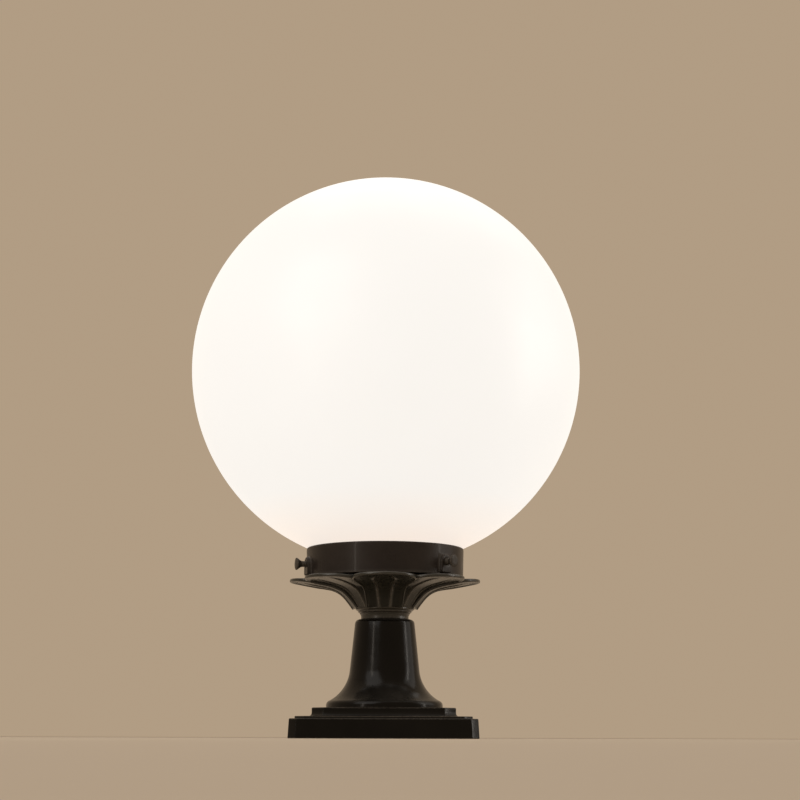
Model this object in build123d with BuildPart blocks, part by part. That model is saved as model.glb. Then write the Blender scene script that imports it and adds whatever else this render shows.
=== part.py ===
from build123d import *
import os
from math import cos, radians, sin, sqrt

# Garden globe light: an opal globe held in a gallery ring by three thumbscrews, on a cast collar
# of eight petals, a tapered column and a stepped square base, all drawn together by one hollow rod.
# Millimetres, +Z up. The origin is the centre of the underside of the base, and the front is -Y.

os.makedirs("parts", exist_ok=True)

# ---------------------------------------------------------------- driving dimensions

# Opal globe
globe_radius = 150.0
globe_wall = 3.0
neck_radius = 54.5
neck_length = 16.75
neck_blend = 4.0

# Gallery ring, the cup that holds the globe's neck
ring_gap = 2.35
ring_wall = 3.0
ring_taper = 0.4
ring_floor = 2.6
seat_gasket_height = 2.0
seat_gasket_width = 5.2
globe_clearance = 0.25

# Thumbscrews of the gallery ring, by azimuth from +X
screw_azimuths = (197.5, 317.5, 77.5)
screw_height = 9.2
screw_radius = 2.4
boss_stand = 2.55
boss_half_width = 5.4
head_radius = 4.6
head_cone_length = 3.0
head_rim_length = 0.5
head_dome = 0.6
head_stand_off = 3.9
pad_radius = 1.95
pad_length = 3.0
pad_stem_radius = 1.0
pad_stem_length = 3.2
pad_gap = 0.3

# Petal collar
petal_count = 8
collar_height = 31.0
collar_neck_radius = 18.1
collar_bead_radius = 22.0
petal_foot_height = 8.6
petal_foot_radius = 23.75
petal_reach = 72.5
petal_rim_drop = 1.9
petal_lobe_centre = 54.5
petal_half_width = 23.6
petal_foot_half_width = 12.4
flare_corner_radius = 35.2
flare_corner_height = 24.4
petal_relief = 1.5
petal_overlap = 0.9
petal_bead_width = 1.8
petal_bead_height = 0.7
bead_swell = 0.9
midrib_half_width = 8.0
midrib_foot = 2.4
collar_wall = 2.2
collar_hub_radius = 12.0
collar_rib_thickness = 2.6
collar_rib_reach = 50.0

# Column
column_height = 66.4
column_top_radius = 22.6
column_top_round = 3.0
column_waist_radius = 26.3
column_waist_height = 28.2
column_lip_radius = 41.3
column_lip_height = 5.8
column_foot_radius = 43.9
column_foot_straight = 2.2
column_wall = 3.2
column_web = 5.0

# Square base, in three steps with cut corners
plinth_half = 68.7
plinth_height = 14.2
plinth_draft = 3.2
plinth_cut = 5.5
step_inset = 4.6
step_height = 1.7
step_cut = 6.5
block_inset = 11.6
block_height = 6.3
block_cut = 8.6
block_cove = 1.6
base_wall = 4.0
base_web = 4.0
base_rib = 3.0
spigot_radius = 21.0
spigot_height = 3.0

# Mounting plate, gasket and set screws
plate_gap = 1.3
plate_thickness = 2.0
tab_half_width = 10.0
tab_height = 8.5
anchor_spacing = 72.0
anchor_hole_radius = 3.25
base_gasket_width = 3.6
base_gasket_height = 1.8
set_screw_radius = 2.45
set_screw_height = 8.0
set_screw_recess = 0.6
grommet_offset = 26.0
grommet_bore = 4.0
grommet_wall = 1.6
grommet_lip = 1.5

# Hollow rod and its nuts and washers
rod_radius = 5.0
rod_bore = 3.6
rod_end = 1.0
rod_nut_flats = 14.0
rod_nut_height = 5.0
rod_washer_radius = 12.0
rod_washer_height = 1.5

# Lampholder on its bracket
bracket_thickness = 1.5
bracket_width = 22.0
bracket_reach = 18.5
bracket_rise = 17.8
holder_radius = 20.5
holder_foot_radius = 18.0
holder_foot_height = 6.0
holder_height = 38.0
holder_floor = 8.0
holder_recess_radius = 5.0
holder_recess_depth = 6.0
holder_screw_spacing = 25.0
holder_screw_radius = 2.0
holder_screw_head = 3.4
holder_screw_depth = 5.0
shell_bore = 13.35
shell_wall = 0.45
shell_height = 28.0
contact_width = 5.0
contact_thickness = 0.8
contact_rise = 4.0

# Lamp
cap_radius = 13.05
cap_height = 22.0
cap_insulator_height = 3.8
tip_radius = 4.8
tip_height = 1.2
housing_height = 36.0
housing_fins = 12
bulb_radius = 30.0
bulb_wall = 1.2
diffuser_angle = 30.0

# Terminal block, wires and earth
block_offset = 20.0
block_depth = 16.0
block_tall = 11.0
pole_pitch = 8.0
wire_radius = 1.2
wire_spread = 1.7
wire_bend = 4.0
earth_reach = 30.0
tag_radius = 4.2
tag_thickness = 0.8
earth_screw_radius = 2.0
terminal_screw_height = 1.0

# Clearances
rod_clearance = 0.25
screw_clearance = 0.05
fit_clearance = 0.15
loose_clearance = 0.3

# ---------------------------------------------------------------- sizes worked out from them

ring_bore = neck_radius + ring_gap
ring_radius_top = ring_bore + ring_wall
ring_radius_bottom = ring_radius_top - ring_taper
boss_face_radius = ring_radius_top + boss_stand
step_half = plinth_half - step_inset
block_half = step_half - block_inset
plinth_inside = plinth_half - base_wall
pocket_half = block_half - base_wall
base_gasket_half = plinth_inside - loose_clearance
base_gasket_hole = base_gasket_half - base_gasket_width
plate_half = base_gasket_hole - plate_gap
rod_hole = rod_radius + rod_clearance

step_bottom = plinth_height
block_bottom = step_bottom + step_height
base_top = block_bottom + block_height
web_bottom = base_top - base_web
column_top = base_top + column_height
collar_top = column_top + collar_height
floor_top = collar_top + ring_floor
neck_bottom = floor_top + seat_gasket_height
neck_root = neck_bottom + neck_length
globe_centre = neck_root + sqrt(globe_radius**2 - neck_radius**2)
screw_z = collar_top + screw_height
plate_top = plate_thickness

lower_washer_bottom = web_bottom - rod_washer_height
lower_nut_bottom = lower_washer_bottom - rod_nut_height
rod_bottom = lower_nut_bottom - rod_end
bracket_top = floor_top + bracket_thickness
upper_nut_bottom = bracket_top + rod_washer_height
rod_top = upper_nut_bottom + rod_nut_height + rod_end

holder_bottom = floor_top + bracket_rise
holder_seat = holder_bottom + holder_floor
tip_bottom = holder_seat + contact_rise
cap_bottom = tip_bottom + tip_height + cap_insulator_height
cap_top = cap_bottom + cap_height
housing_top = cap_top + housing_height


def globe_underside(radius):
    """Height of the globe's outer surface below its centre, at this distance from the axis."""
    return globe_centre - sqrt(globe_radius**2 - radius**2)


def ring_shape(inner, outer, bottom, height):
    """A flat ring around the Z axis."""
    with BuildPart() as ring:
        with BuildSketch(Plane.XY.offset(bottom)):
            Circle(outer)
            Circle(inner, mode=Mode.SUBTRACT)
        extrude(amount=height)
    return ring


def hex_nut(flats, inner, bottom, height):
    """A hexagon nut around the Z axis, its corners bevelled top and bottom."""
    with BuildPart() as nut:
        with BuildSketch(Plane.XY.offset(bottom)):
            RegularPolygon(radius=flats / 2, side_count=6, major_radius=False)
            Circle(inner, mode=Mode.SUBTRACT)
        extrude(amount=height)
        with BuildSketch(Plane.XY.offset(bottom)):
            Circle(flats / 2 * 1.09)
        extrude(amount=height, mode=Mode.INTERSECT)
    return nut


def radial_plane(azimuth, distance, height):
    """A plane facing outward at this azimuth, its X along the circle and its Y up."""
    angle = radians(azimuth)
    outward = Vector(cos(angle), sin(angle), 0)
    along = Vector(-sin(angle), cos(angle), 0)
    return Plane(origin=outward * distance + Vector(0, 0, height), x_dir=along, z_dir=outward)


# ---------------------------------------------------------------- opal globe

with BuildPart() as globe:
    with BuildSketch(Plane.XZ):
        with BuildLine():
            crown = (0, globe_centre + globe_radius)
            side = (globe_radius, globe_centre)
            root = (neck_radius, neck_root)
            inner_radius = globe_radius - globe_wall
            inner_neck = neck_radius - globe_wall
            inner_root = (inner_neck, globe_centre - sqrt(inner_radius**2 - inner_neck**2))
            ThreePointArc(crown, side, root)
            Line(root, (neck_radius, neck_bottom))
            Line((neck_radius, neck_bottom), (inner_neck, neck_bottom))
            Line((inner_neck, neck_bottom), inner_root)
            ThreePointArc(inner_root, (inner_radius, globe_centre), (0, globe_centre + inner_radius))
            Line((0, globe_centre + inner_radius), crown)
        make_face()
    revolve(axis=Axis.Z)
    # The throat inside, where the blown wall turns into the neck, is a soft curve.
    fillet(globe.edges().filter_by(GeomType.CIRCLE).sort_by(
        lambda edge: (Vector(0, edge.radius, edge.center().Z)
                      - Vector(0, *inner_root)).length)[0], neck_blend)
globe.part.label = "globe"
export_step(globe.part, "parts/globe.step")

seat_gasket = ring_shape(ring_bore - fit_clearance * 4 - seat_gasket_width,
                         ring_bore - fit_clearance * 4, floor_top, seat_gasket_height)
seat_gasket.part.label = "seat_gasket"
export_step(seat_gasket.part, "parts/seat_gasket.step")


# ---------------------------------------------------------------- gallery ring

rim_radius = ring_radius_top - globe_clearance / 2
rim_height = globe_underside(rim_radius) - globe_clearance
bevel_height = globe_underside(ring_bore) - 2 * globe_clearance

with BuildPart() as gallery_ring:
    with BuildSketch(Plane.XZ):
        with BuildLine():
            Polyline(
                (rod_hole, collar_top),
                (ring_radius_bottom, collar_top),
                (ring_radius_top, rim_height - globe_clearance),
                (rim_radius, rim_height),
                (ring_bore, bevel_height),
                (ring_bore, floor_top),
                (rod_hole, floor_top),
                close=True,
            )
        make_face()
    revolve(axis=Axis.Z)
    for azimuth in screw_azimuths:
        # Each boss is an arch that runs down to the foot of the ring.
        with BuildSketch(radial_plane(azimuth, boss_face_radius, screw_z)):
            Circle(boss_half_width)
            with Locations((0, -screw_height / 2)):
                Rectangle(2 * boss_half_width, screw_height)
        extrude(amount=ring_bore + ring_wall / 2 - boss_face_radius)
    boss_faces = gallery_ring.faces().filter_by(GeomType.PLANE).filter_by(
        lambda face: abs(face.normal_at().Z) < 0.01
        and abs(Vector(face.center().X, face.center().Y, 0).length - boss_face_radius) < 0.2)
    fillet(boss_faces.edges().filter_by(GeomType.CIRCLE), 1.0)
    for azimuth in screw_azimuths:
        with BuildSketch(radial_plane(azimuth, ring_bore - ring_wall, screw_z)):
            Circle(screw_radius + screw_clearance)
        extrude(amount=boss_face_radius - ring_bore + 2 * ring_wall, mode=Mode.SUBTRACT)
gallery_ring.part.label = "gallery_ring"
export_step(gallery_ring.part, "parts/gallery_ring.step")


# ---------------------------------------------------------------- thumbscrews and their soft pads

pad_face = neck_radius + pad_gap
pad_shoulder = pad_face + pad_length
head_start = boss_face_radius + head_stand_off

for number, azimuth in enumerate(screw_azimuths, start=1):
    with BuildPart() as screw_pad:
        with BuildSketch(radial_plane(azimuth, pad_face, screw_z)):
            Circle(pad_radius)
        extrude(amount=pad_length)
        with BuildSketch(radial_plane(azimuth, pad_shoulder, screw_z)):
            Circle(pad_stem_radius)
        extrude(amount=pad_stem_length)
    screw_pad.part.label = f"screw_pad_{number}"
    export_step(screw_pad.part, f"parts/screw_pad_{number}.step")

    with BuildPart() as thumbscrew:
        with BuildSketch(radial_plane(azimuth, pad_shoulder, screw_z)):
            Circle(screw_radius)
            Circle(pad_stem_radius + screw_clearance, mode=Mode.SUBTRACT)
        extrude(amount=pad_stem_length + fit_clearance)
        with BuildSketch(radial_plane(azimuth, pad_shoulder + pad_stem_length + fit_clearance, screw_z)):
            Circle(screw_radius)
        extrude(amount=head_start - pad_shoulder - pad_stem_length - fit_clearance)
        # The head opens out as a cone, has a narrow rim, and ends in a low dome.
        with BuildSketch(radial_plane(azimuth, head_start, screw_z)):
            Circle(screw_radius + fit_clearance)
        with BuildSketch(radial_plane(azimuth, head_start + head_cone_length, screw_z)):
            Circle(head_radius)
        loft()
        with BuildSketch(radial_plane(azimuth, head_start + head_cone_length, screw_z)):
            Circle(head_radius)
        extrude(amount=head_rim_length)
        dome_base = head_start + head_cone_length + head_rim_length
        with BuildSketch(radial_plane(azimuth, dome_base, screw_z)):
            Circle(head_radius)
        with BuildSketch(radial_plane(azimuth, dome_base + head_dome, screw_z)):
            Circle(head_radius - 2 * head_dome)
        loft()
    thumbscrew.part.label = f"thumbscrew_{number}"
    export_step(thumbscrew.part, f"parts/thumbscrew_{number}.step")


# ---------------------------------------------------------------- petal collar

petal_foot_z = column_top + petal_foot_height
petal_rim_z = collar_top - petal_rim_drop


def flare_points(inset):
    """Start, corner and end of the bell's curve, moved into the bell by inset."""
    start = (petal_foot_radius - 0.81 * inset, petal_foot_z + 0.59 * inset)
    corner = (flare_corner_radius - 0.5 * inset, column_top + flare_corner_height + 0.87 * inset)
    end = (petal_reach + petal_bead_width * 2, petal_rim_z + inset)
    return start, corner, end


def bell_layer(outer_inset, inner_inset):
    """A layer of the bell between two insets, open at the middle and wider than the petals reach."""
    with BuildPart() as layer:
        with BuildSketch(Plane.XZ):
            with BuildLine():
                start, corner, end = flare_points(outer_inset)
                inner_start, inner_corner, inner_end = flare_points(inner_inset)
                Bezier(start, corner, corner, end)
                Line(end, inner_end)
                Bezier(inner_end, inner_corner, inner_corner, inner_start)
                Line(inner_start, start)
            make_face()
        revolve(axis=Axis.Z)
    return layer.part


def petal_outline(reach, margin):
    """A petal seen from above, pointing along +X: narrow at its foot and broad at its round tip."""
    with BuildSketch() as outline:
        with BuildLine():
            foot = (petal_foot_radius * 0.6, petal_foot_half_width - margin)
            shoulder = (petal_lobe_centre, petal_half_width - margin)
            waist_width = (petal_foot_half_width + petal_half_width) * 0.45 - margin
            Line((foot[0], 0), foot)
            Spline(foot, (petal_lobe_centre * 0.62, waist_width), shoulder, tangents=((1, 0), (1, 0.2)))
            EllipticalCenterArc(
                (petal_lobe_centre, 0),
                reach - petal_lobe_centre - margin,
                petal_half_width - margin,
                start_angle=0,
                arc_size=90,
            )
            mirror(about=Plane.XZ)
        make_face()
    return outline.sketch


def petal(lift):
    """One petal along +X: a leaf raised from the bell, with a beaded edge and a tapering midrib."""
    beyond = petal_reach + petal_bead_width
    leaf_layer = bell_layer(-lift, petal_relief + collar_wall / 2)
    bead_layer = bell_layer(-lift - petal_bead_height, petal_relief - lift)
    with BuildPart() as leaf:
        with BuildSketch(Plane.XY.offset(column_top)):
            add(petal_outline(beyond, 0))
        extrude(amount=collar_height)
        add(leaf_layer, mode=Mode.INTERSECT)
    with BuildPart() as bead:
        with BuildSketch(Plane.XY.offset(column_top)):
            add(petal_outline(beyond, 0))
            add(petal_outline(petal_reach, petal_bead_width), mode=Mode.SUBTRACT)
            with BuildLine():
                Polyline(
                    (petal_foot_radius * 0.6, midrib_foot),
                    (petal_lobe_centre, midrib_half_width),
                    (petal_reach - 3 * petal_bead_width, 0),
                    (petal_lobe_centre, -midrib_half_width),
                    (petal_foot_radius * 0.6, -midrib_foot),
                    close=True,
                )
            make_face()
        extrude(amount=collar_height)
        add(bead_layer, mode=Mode.INTERSECT)
    return leaf.part + bead.part


high_petal = petal(petal_overlap)
low_petal = petal(0)

with BuildPart() as petal_collar:
    with BuildSketch(Plane.XZ):
        with BuildLine():
            core_start, core_corner, core_end = flare_points(petal_relief)
            top_start, top_corner, top_end = flare_points(petal_relief + collar_wall)
            bead_foot = (collar_bead_radius - bead_swell, petal_foot_z - 2 * bead_swell)
            bead_side = (collar_bead_radius, petal_foot_z - bead_swell / 2)
            Line((rod_hole, column_top), (collar_neck_radius, column_top))
            ThreePointArc(
                (collar_neck_radius, column_top),
                (collar_neck_radius + 0.6, column_top + petal_foot_height * 0.4),
                bead_foot,
            )
            ThreePointArc(bead_foot, bead_side, core_start)
            Bezier(core_start, core_corner, core_corner, core_end)
            Line(core_end, top_end)
            Bezier(top_end, top_corner, top_corner, top_start)
            Line(top_start, (rod_hole, top_start[1]))
            Line((rod_hole, top_start[1]), (rod_hole, column_top))
        make_face()
    revolve(axis=Axis.Z)
    # Four petals lie in front and four lie half behind them.
    with PolarLocations(0, petal_count // 2, start_angle=180 / petal_count * 2):
        add(low_petal)
    with PolarLocations(0, petal_count // 2):
        add(high_petal)
    # The rim follows the tips of the petals.
    with BuildSketch(Plane.XY.offset(column_top)):
        Circle(petal_lobe_centre)
        with PolarLocations(0, petal_count):
            add(petal_outline(petal_reach, 0))
    extrude(amount=collar_height, mode=Mode.INTERSECT)
    # The gallery ring stands on a hub and on ribs inside the bell.
    with BuildSketch(Plane.XY.offset(top_start[1] - collar_wall / 2)):
        Circle(collar_hub_radius)
    extrude(amount=collar_top - top_start[1] + collar_wall / 2)
    with BuildSketch(Plane.XZ) as rib_profile:
        with BuildLine():
            rib_start, rib_corner, rib_end = flare_points(petal_relief + collar_wall / 2)
            Bezier(rib_start, rib_corner, rib_corner, rib_end)
            above = collar_top + collar_height
            Polyline(rib_end, (rib_end[0], above), (0, above), (0, rib_start[1]), rib_start)
        make_face()
        with Locations((collar_rib_reach / 2, collar_top - collar_height / 2)):
            Rectangle(collar_rib_reach, collar_height, mode=Mode.INTERSECT)
    with PolarLocations(0, petal_count // 2):
        extrude(rib_profile.sketch, amount=collar_rib_thickness / 2, both=True)
    with BuildSketch(Plane.XY.offset(column_top)):
        Circle(rod_hole)
    extrude(amount=collar_height, mode=Mode.SUBTRACT)
petal_collar.part.label = "petal_collar"
export_step(petal_collar.part, "parts/petal_collar.step")


# ---------------------------------------------------------------- column

with BuildPart() as column:
    with BuildSketch(Plane.XZ):
        with BuildLine():
            foot_edge = (column_foot_radius, base_top + column_foot_straight)
            lip = (column_lip_radius, base_top + column_lip_height)
            waist = (column_waist_radius, base_top + column_waist_height)
            neck = (column_top_radius, column_top - column_top_round)
            crown_edge = (column_top_radius - column_top_round, column_top)
            bore = spigot_radius + loose_clearance
            Line((bore, base_top), (column_foot_radius, base_top))
            Line((column_foot_radius, base_top), foot_edge)
            TangentArc(foot_edge, lip, tangent=(0, 1))
            TangentArc(waist, lip, tangent=(waist[0] - neck[0], waist[1] - neck[1]))
            Line(waist, neck)
            TangentArc(neck, crown_edge, tangent=(neck[0] - waist[0], neck[1] - waist[1]))
            Polyline(
                crown_edge,
                (rod_hole, column_top),
                (rod_hole, column_top - column_web),
                (column_top_radius - column_wall, column_top - column_web),
                (bore, base_top + column_waist_height),
                (bore, base_top),
            )
        make_face()
    revolve(axis=Axis.Z)
column.part.label = "column"
export_step(column.part, "parts/column.step")


# ---------------------------------------------------------------- square base

plinth_ceiling = block_bottom - base_web

with BuildPart() as base_casting:
    with BuildSketch(Plane.XY):
        plinth_square = Rectangle(2 * plinth_half, 2 * plinth_half)
        chamfer(plinth_square.vertices(), plinth_cut)
    extrude(amount=plinth_height, taper=plinth_draft)
    with BuildSketch(Plane.XY.offset(step_bottom)):
        step_square = Rectangle(2 * step_half, 2 * step_half)
        chamfer(step_square.vertices(), step_cut)
    extrude(amount=step_height)
    with BuildSketch(Plane.XY.offset(block_bottom)):
        block_square = Rectangle(2 * block_half, 2 * block_half)
        chamfer(block_square.vertices(), block_cut)
    extrude(amount=block_height)
    # The block grows out of the step with a small cove all round.
    block_foot = base_casting.edges().filter_by_position(
        Axis.Z, block_bottom - 0.01, block_bottom + 0.01
    ).filter_by(lambda edge: max(abs(edge.center().X), abs(edge.center().Y)) < block_half + 0.01)
    fillet(block_foot, block_cove)
    with BuildSketch(Plane.XY.offset(base_top)):
        Circle(spigot_radius)
    extrude(amount=spigot_height)
    # Two pockets hollow the casting from below.
    with BuildSketch(Plane.XY):
        inside_square = Rectangle(2 * plinth_inside, 2 * plinth_inside)
        chamfer(inside_square.vertices(), plinth_cut)
    extrude(amount=plinth_ceiling, mode=Mode.SUBTRACT)
    with BuildSketch(Plane.XY.offset(plinth_ceiling)):
        pocket_square = Rectangle(2 * pocket_half, 2 * pocket_half)
        chamfer(pocket_square.vertices(), block_cut)
    extrude(amount=web_bottom - plinth_ceiling, mode=Mode.SUBTRACT)
    # Ribs stiffen the web between the rod and the walls.
    rib_inner = rod_washer_radius + 2 * base_rib
    rib_length = pocket_half - rib_inner + base_rib
    with BuildSketch(Plane.XY.offset(web_bottom - base_rib)):
        with PolarLocations(rib_inner + rib_length / 2, 4):
            Rectangle(rib_length, base_rib)
    extrude(amount=base_rib + base_web / 2)
    with BuildSketch(Plane.XY):
        Circle(rod_hole)
    extrude(amount=base_top + spigot_height, mode=Mode.SUBTRACT)
    for side in (0, 180):
        with BuildSketch(radial_plane(side, plate_half, set_screw_height)):
            Circle(set_screw_radius + screw_clearance)
        extrude(amount=2 * (plinth_half - plate_half), mode=Mode.SUBTRACT)
base_casting.part.label = "base_casting"
export_step(base_casting.part, "parts/base_casting.step")

with BuildPart() as base_gasket:
    with BuildSketch(Plane.XY):
        gasket_square = Rectangle(2 * base_gasket_half, 2 * base_gasket_half)
        chamfer(gasket_square.vertices(), plinth_cut)
        with BuildSketch(mode=Mode.SUBTRACT):
            gasket_hole = Rectangle(2 * base_gasket_hole, 2 * base_gasket_hole)
            chamfer(gasket_hole.vertices(), plinth_cut - base_gasket_width / 2)
    extrude(amount=base_gasket_height)
base_gasket.part.label = "base_gasket"
export_step(base_gasket.part, "parts/base_gasket.step")


# ---------------------------------------------------------------- mounting plate and its set screws

tag_centre = (-earth_reach, block_offset / 2)

with BuildPart() as mounting_plate:
    with BuildSketch(Plane.XY):
        plate_square = Rectangle(2 * plate_half, 2 * plate_half)
        chamfer(plate_square.vertices(), plinth_cut)
        with GridLocations(anchor_spacing, anchor_spacing, 2, 2):
            Circle(anchor_hole_radius, mode=Mode.SUBTRACT)
        with Locations((0, -grommet_offset)):
            Circle(grommet_bore + grommet_wall, mode=Mode.SUBTRACT)
        with Locations(tag_centre):
            Circle(earth_screw_radius + screw_clearance, mode=Mode.SUBTRACT)
    extrude(amount=plate_thickness)
    # A tab stands up at each side for the set screws to press on.
    with BuildSketch(Plane.XY.offset(plate_thickness)):
        with PolarLocations(plate_half - plate_thickness / 2, 2):
            Rectangle(plate_thickness, 2 * tab_half_width)
    extrude(amount=tab_height)
    tab_corners = mounting_plate.edges().filter_by(Axis.X).group_by(Axis.Z)[-1]
    fillet(tab_corners, plate_thickness)
mounting_plate.part.label = "mounting_plate"
export_step(mounting_plate.part, "parts/mounting_plate.step")

set_screw_end = plinth_half - set_screw_height * sin(radians(plinth_draft)) - set_screw_recess
with BuildPart() as base_set_screws:
    for side in (0, 180):
        with BuildSketch(radial_plane(side, plate_half, set_screw_height)):
            Circle(set_screw_radius)
        extrude(amount=set_screw_end - plate_half)
        with BuildSketch(radial_plane(side, set_screw_end, set_screw_height)):
            RegularPolygon(radius=set_screw_radius / 2, side_count=6, major_radius=False)
        extrude(amount=-set_screw_radius, mode=Mode.SUBTRACT)
base_set_screws.part.label = "base_set_screws"
export_step(base_set_screws.part, "parts/base_set_screws.step")

with BuildPart() as cable_grommet:
    with BuildSketch(Plane.XY):
        with Locations((0, -grommet_offset)):
            Circle(grommet_bore + grommet_wall)
    extrude(amount=plate_thickness)
    with BuildSketch(Plane.XY.offset(plate_thickness)):
        with Locations((0, -grommet_offset)):
            Circle(grommet_bore + 2 * grommet_wall)
    extrude(amount=grommet_lip)
    with BuildSketch(Plane.XY):
        with Locations((0, -grommet_offset)):
            Circle(grommet_bore)
    extrude(amount=plate_thickness + grommet_lip, mode=Mode.SUBTRACT)
cable_grommet.part.label = "cable_grommet"
export_step(cable_grommet.part, "parts/cable_grommet.step")


# ---------------------------------------------------------------- hollow rod, nuts and washers

threaded_rod = ring_shape(rod_bore, rod_radius, rod_bottom, rod_top - rod_bottom)
threaded_rod.part.label = "threaded_rod"
export_step(threaded_rod.part, "parts/threaded_rod.step")

lower_washer = ring_shape(rod_hole, rod_washer_radius, lower_washer_bottom, rod_washer_height)
lower_washer.part.label = "lower_washer"
export_step(lower_washer.part, "parts/lower_washer.step")

lower_nut = hex_nut(rod_nut_flats, rod_radius + screw_clearance, lower_nut_bottom, rod_nut_height)
lower_nut.part.label = "lower_nut"
export_step(lower_nut.part, "parts/lower_nut.step")

upper_washer = ring_shape(rod_hole, bracket_width / 2 - fit_clearance, bracket_top, rod_washer_height)
upper_washer.part.label = "upper_washer"
export_step(upper_washer.part, "parts/upper_washer.step")

upper_nut = hex_nut(rod_nut_flats, rod_radius + screw_clearance, upper_nut_bottom, rod_nut_height)
upper_nut.part.label = "upper_nut"
export_step(upper_nut.part, "parts/upper_nut.step")


# ---------------------------------------------------------------- lampholder on its bracket

with BuildPart() as holder_bracket:
    # A strap bent to a C: its foot is clamped by the upper nut and its head carries the holder.
    with BuildSketch(Plane.XZ):
        with Locations((0, floor_top + bracket_rise / 2)):
            Rectangle(2 * bracket_reach, bracket_rise)
        with Locations((bracket_thickness, floor_top + bracket_rise / 2)):
            Rectangle(2 * bracket_reach, bracket_rise - 2 * bracket_thickness, mode=Mode.SUBTRACT)
    extrude(amount=bracket_width / 2, both=True)
    outer_bends = holder_bracket.edges().filter_by(Axis.Y).group_by(Axis.X)[0]
    fillet(outer_bends, bracket_thickness)
    with BuildSketch(Plane.XY.offset(floor_top)):
        Circle(rod_hole)
    extrude(amount=bracket_rise, mode=Mode.SUBTRACT)
    with BuildSketch(Plane.XY.offset(holder_bottom - bracket_thickness)):
        with GridLocations(holder_screw_spacing, 0, 2, 1):
            Circle(holder_screw_radius + screw_clearance)
    extrude(amount=bracket_thickness, mode=Mode.SUBTRACT)
holder_bracket.part.label = "holder_bracket"
export_step(holder_bracket.part, "parts/holder_bracket.step")

with BuildPart() as holder_screws:
    with BuildSketch(Plane.XY.offset(holder_bottom - bracket_thickness)):
        with GridLocations(holder_screw_spacing, 0, 2, 1):
            Circle(holder_screw_radius)
    extrude(amount=bracket_thickness + holder_screw_depth - fit_clearance)
    with BuildSketch(Plane.XY.offset(holder_bottom - bracket_thickness - holder_screw_radius)):
        with GridLocations(holder_screw_spacing, 0, 2, 1):
            Circle(holder_screw_head)
    extrude(amount=holder_screw_radius)
holder_screws.part.label = "holder_screws"
export_step(holder_screws.part, "parts/holder_screws.step")

shell_radius = shell_bore + shell_wall
with BuildPart() as lampholder_body:
    with BuildSketch(Plane.XY.offset(holder_bottom)):
        Circle(holder_foot_radius)
    extrude(amount=holder_foot_height)
    with BuildSketch(Plane.XY.offset(holder_bottom + holder_foot_height)):
        Circle(holder_radius)
    extrude(amount=holder_height - holder_foot_height)
    fillet(lampholder_body.edges().group_by(Axis.Z)[-1], holder_radius / 15)
    with BuildSketch(Plane.XY.offset(holder_seat)):
        Circle(shell_radius + fit_clearance)
    extrude(amount=holder_height, mode=Mode.SUBTRACT)
    with BuildSketch(Plane.XY.offset(holder_bottom)):
        Circle(holder_recess_radius)
    extrude(amount=holder_recess_depth, mode=Mode.SUBTRACT)
    with BuildSketch(Plane.XY.offset(holder_bottom)):
        with GridLocations(holder_screw_spacing, 0, 2, 1):
            Circle(holder_screw_radius + screw_clearance)
    extrude(amount=holder_screw_depth, mode=Mode.SUBTRACT)
lampholder_body.part.label = "lampholder_body"
export_step(lampholder_body.part, "parts/lampholder_body.step")

lampholder_shell = ring_shape(shell_bore, shell_radius, holder_seat, shell_height)
lampholder_shell.part.label = "lampholder_shell"
export_step(lampholder_shell.part, "parts/lampholder_shell.step")

with BuildPart() as lampholder_contact:
    # A springy strip, arched up to meet the lamp's own contact.
    with BuildSketch(Plane.XZ):
        low = holder_seat + contact_thickness / 2
        high = tip_bottom - contact_thickness / 2
        with BuildLine():
            Polyline(
                (-contact_width * 1.6, low),
                (-contact_width, low),
                (-contact_width * 0.6, high),
                (contact_width * 0.6, high),
                (contact_width, low),
                (contact_width * 1.6, low),
            )
        trace(line_width=contact_thickness)
    extrude(amount=contact_width / 2, both=True)
lampholder_contact.part.label = "lampholder_contact"
export_step(lampholder_contact.part, "parts/lampholder_contact.step")


# ---------------------------------------------------------------- lamp

with BuildPart() as lamp_contact:
    with BuildSketch(Plane.XY.offset(tip_bottom)):
        Circle(tip_radius)
    extrude(amount=tip_height)
lamp_contact.part.label = "lamp_contact"
export_step(lamp_contact.part, "parts/lamp_contact.step")

with BuildPart() as lamp_insulator:
    with BuildSketch(Plane.XY.offset(tip_bottom + tip_height)):
        Circle(tip_radius + bulb_wall)
    with BuildSketch(Plane.XY.offset(cap_bottom)):
        Circle(cap_radius - bulb_wall)
    loft()
lamp_insulator.part.label = "lamp_insulator"
export_step(lamp_insulator.part, "parts/lamp_insulator.step")

with BuildPart() as lamp_cap:
    with BuildSketch(Plane.XY.offset(cap_bottom)):
        Circle(cap_radius)
    extrude(amount=cap_height)
    chamfer(lamp_cap.edges().group_by(Axis.Z)[0], bulb_wall / 2)
lamp_cap.part.label = "lamp_cap"
export_step(lamp_cap.part, "parts/lamp_cap.step")

diffuser_foot = bulb_radius * cos(radians(diffuser_angle))
diffuser_centre = housing_top + bulb_radius * sin(radians(diffuser_angle))

with BuildPart() as lamp_housing:
    with BuildSketch(Plane.XZ):
        with BuildLine():
            Line((0, cap_top), (cap_radius + bulb_wall, cap_top))
            Spline(
                (cap_radius + bulb_wall, cap_top),
                (diffuser_foot, housing_top),
                tangents=((0.3, 1), (0.3, 1)),
            )
            Polyline((diffuser_foot, housing_top), (0, housing_top), (0, cap_top))
        make_face()
    revolve(axis=Axis.Z)
    # Narrow slots between the fins of the heat sink.
    with PolarLocations(diffuser_foot, housing_fins):
        with Locations((0, 0, cap_top + housing_height / 2)):
            Box(diffuser_foot * 0.6, bulb_wall, housing_height * 0.6, mode=Mode.SUBTRACT)
lamp_housing.part.label = "lamp_housing"
export_step(lamp_housing.part, "parts/lamp_housing.step")

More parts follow.
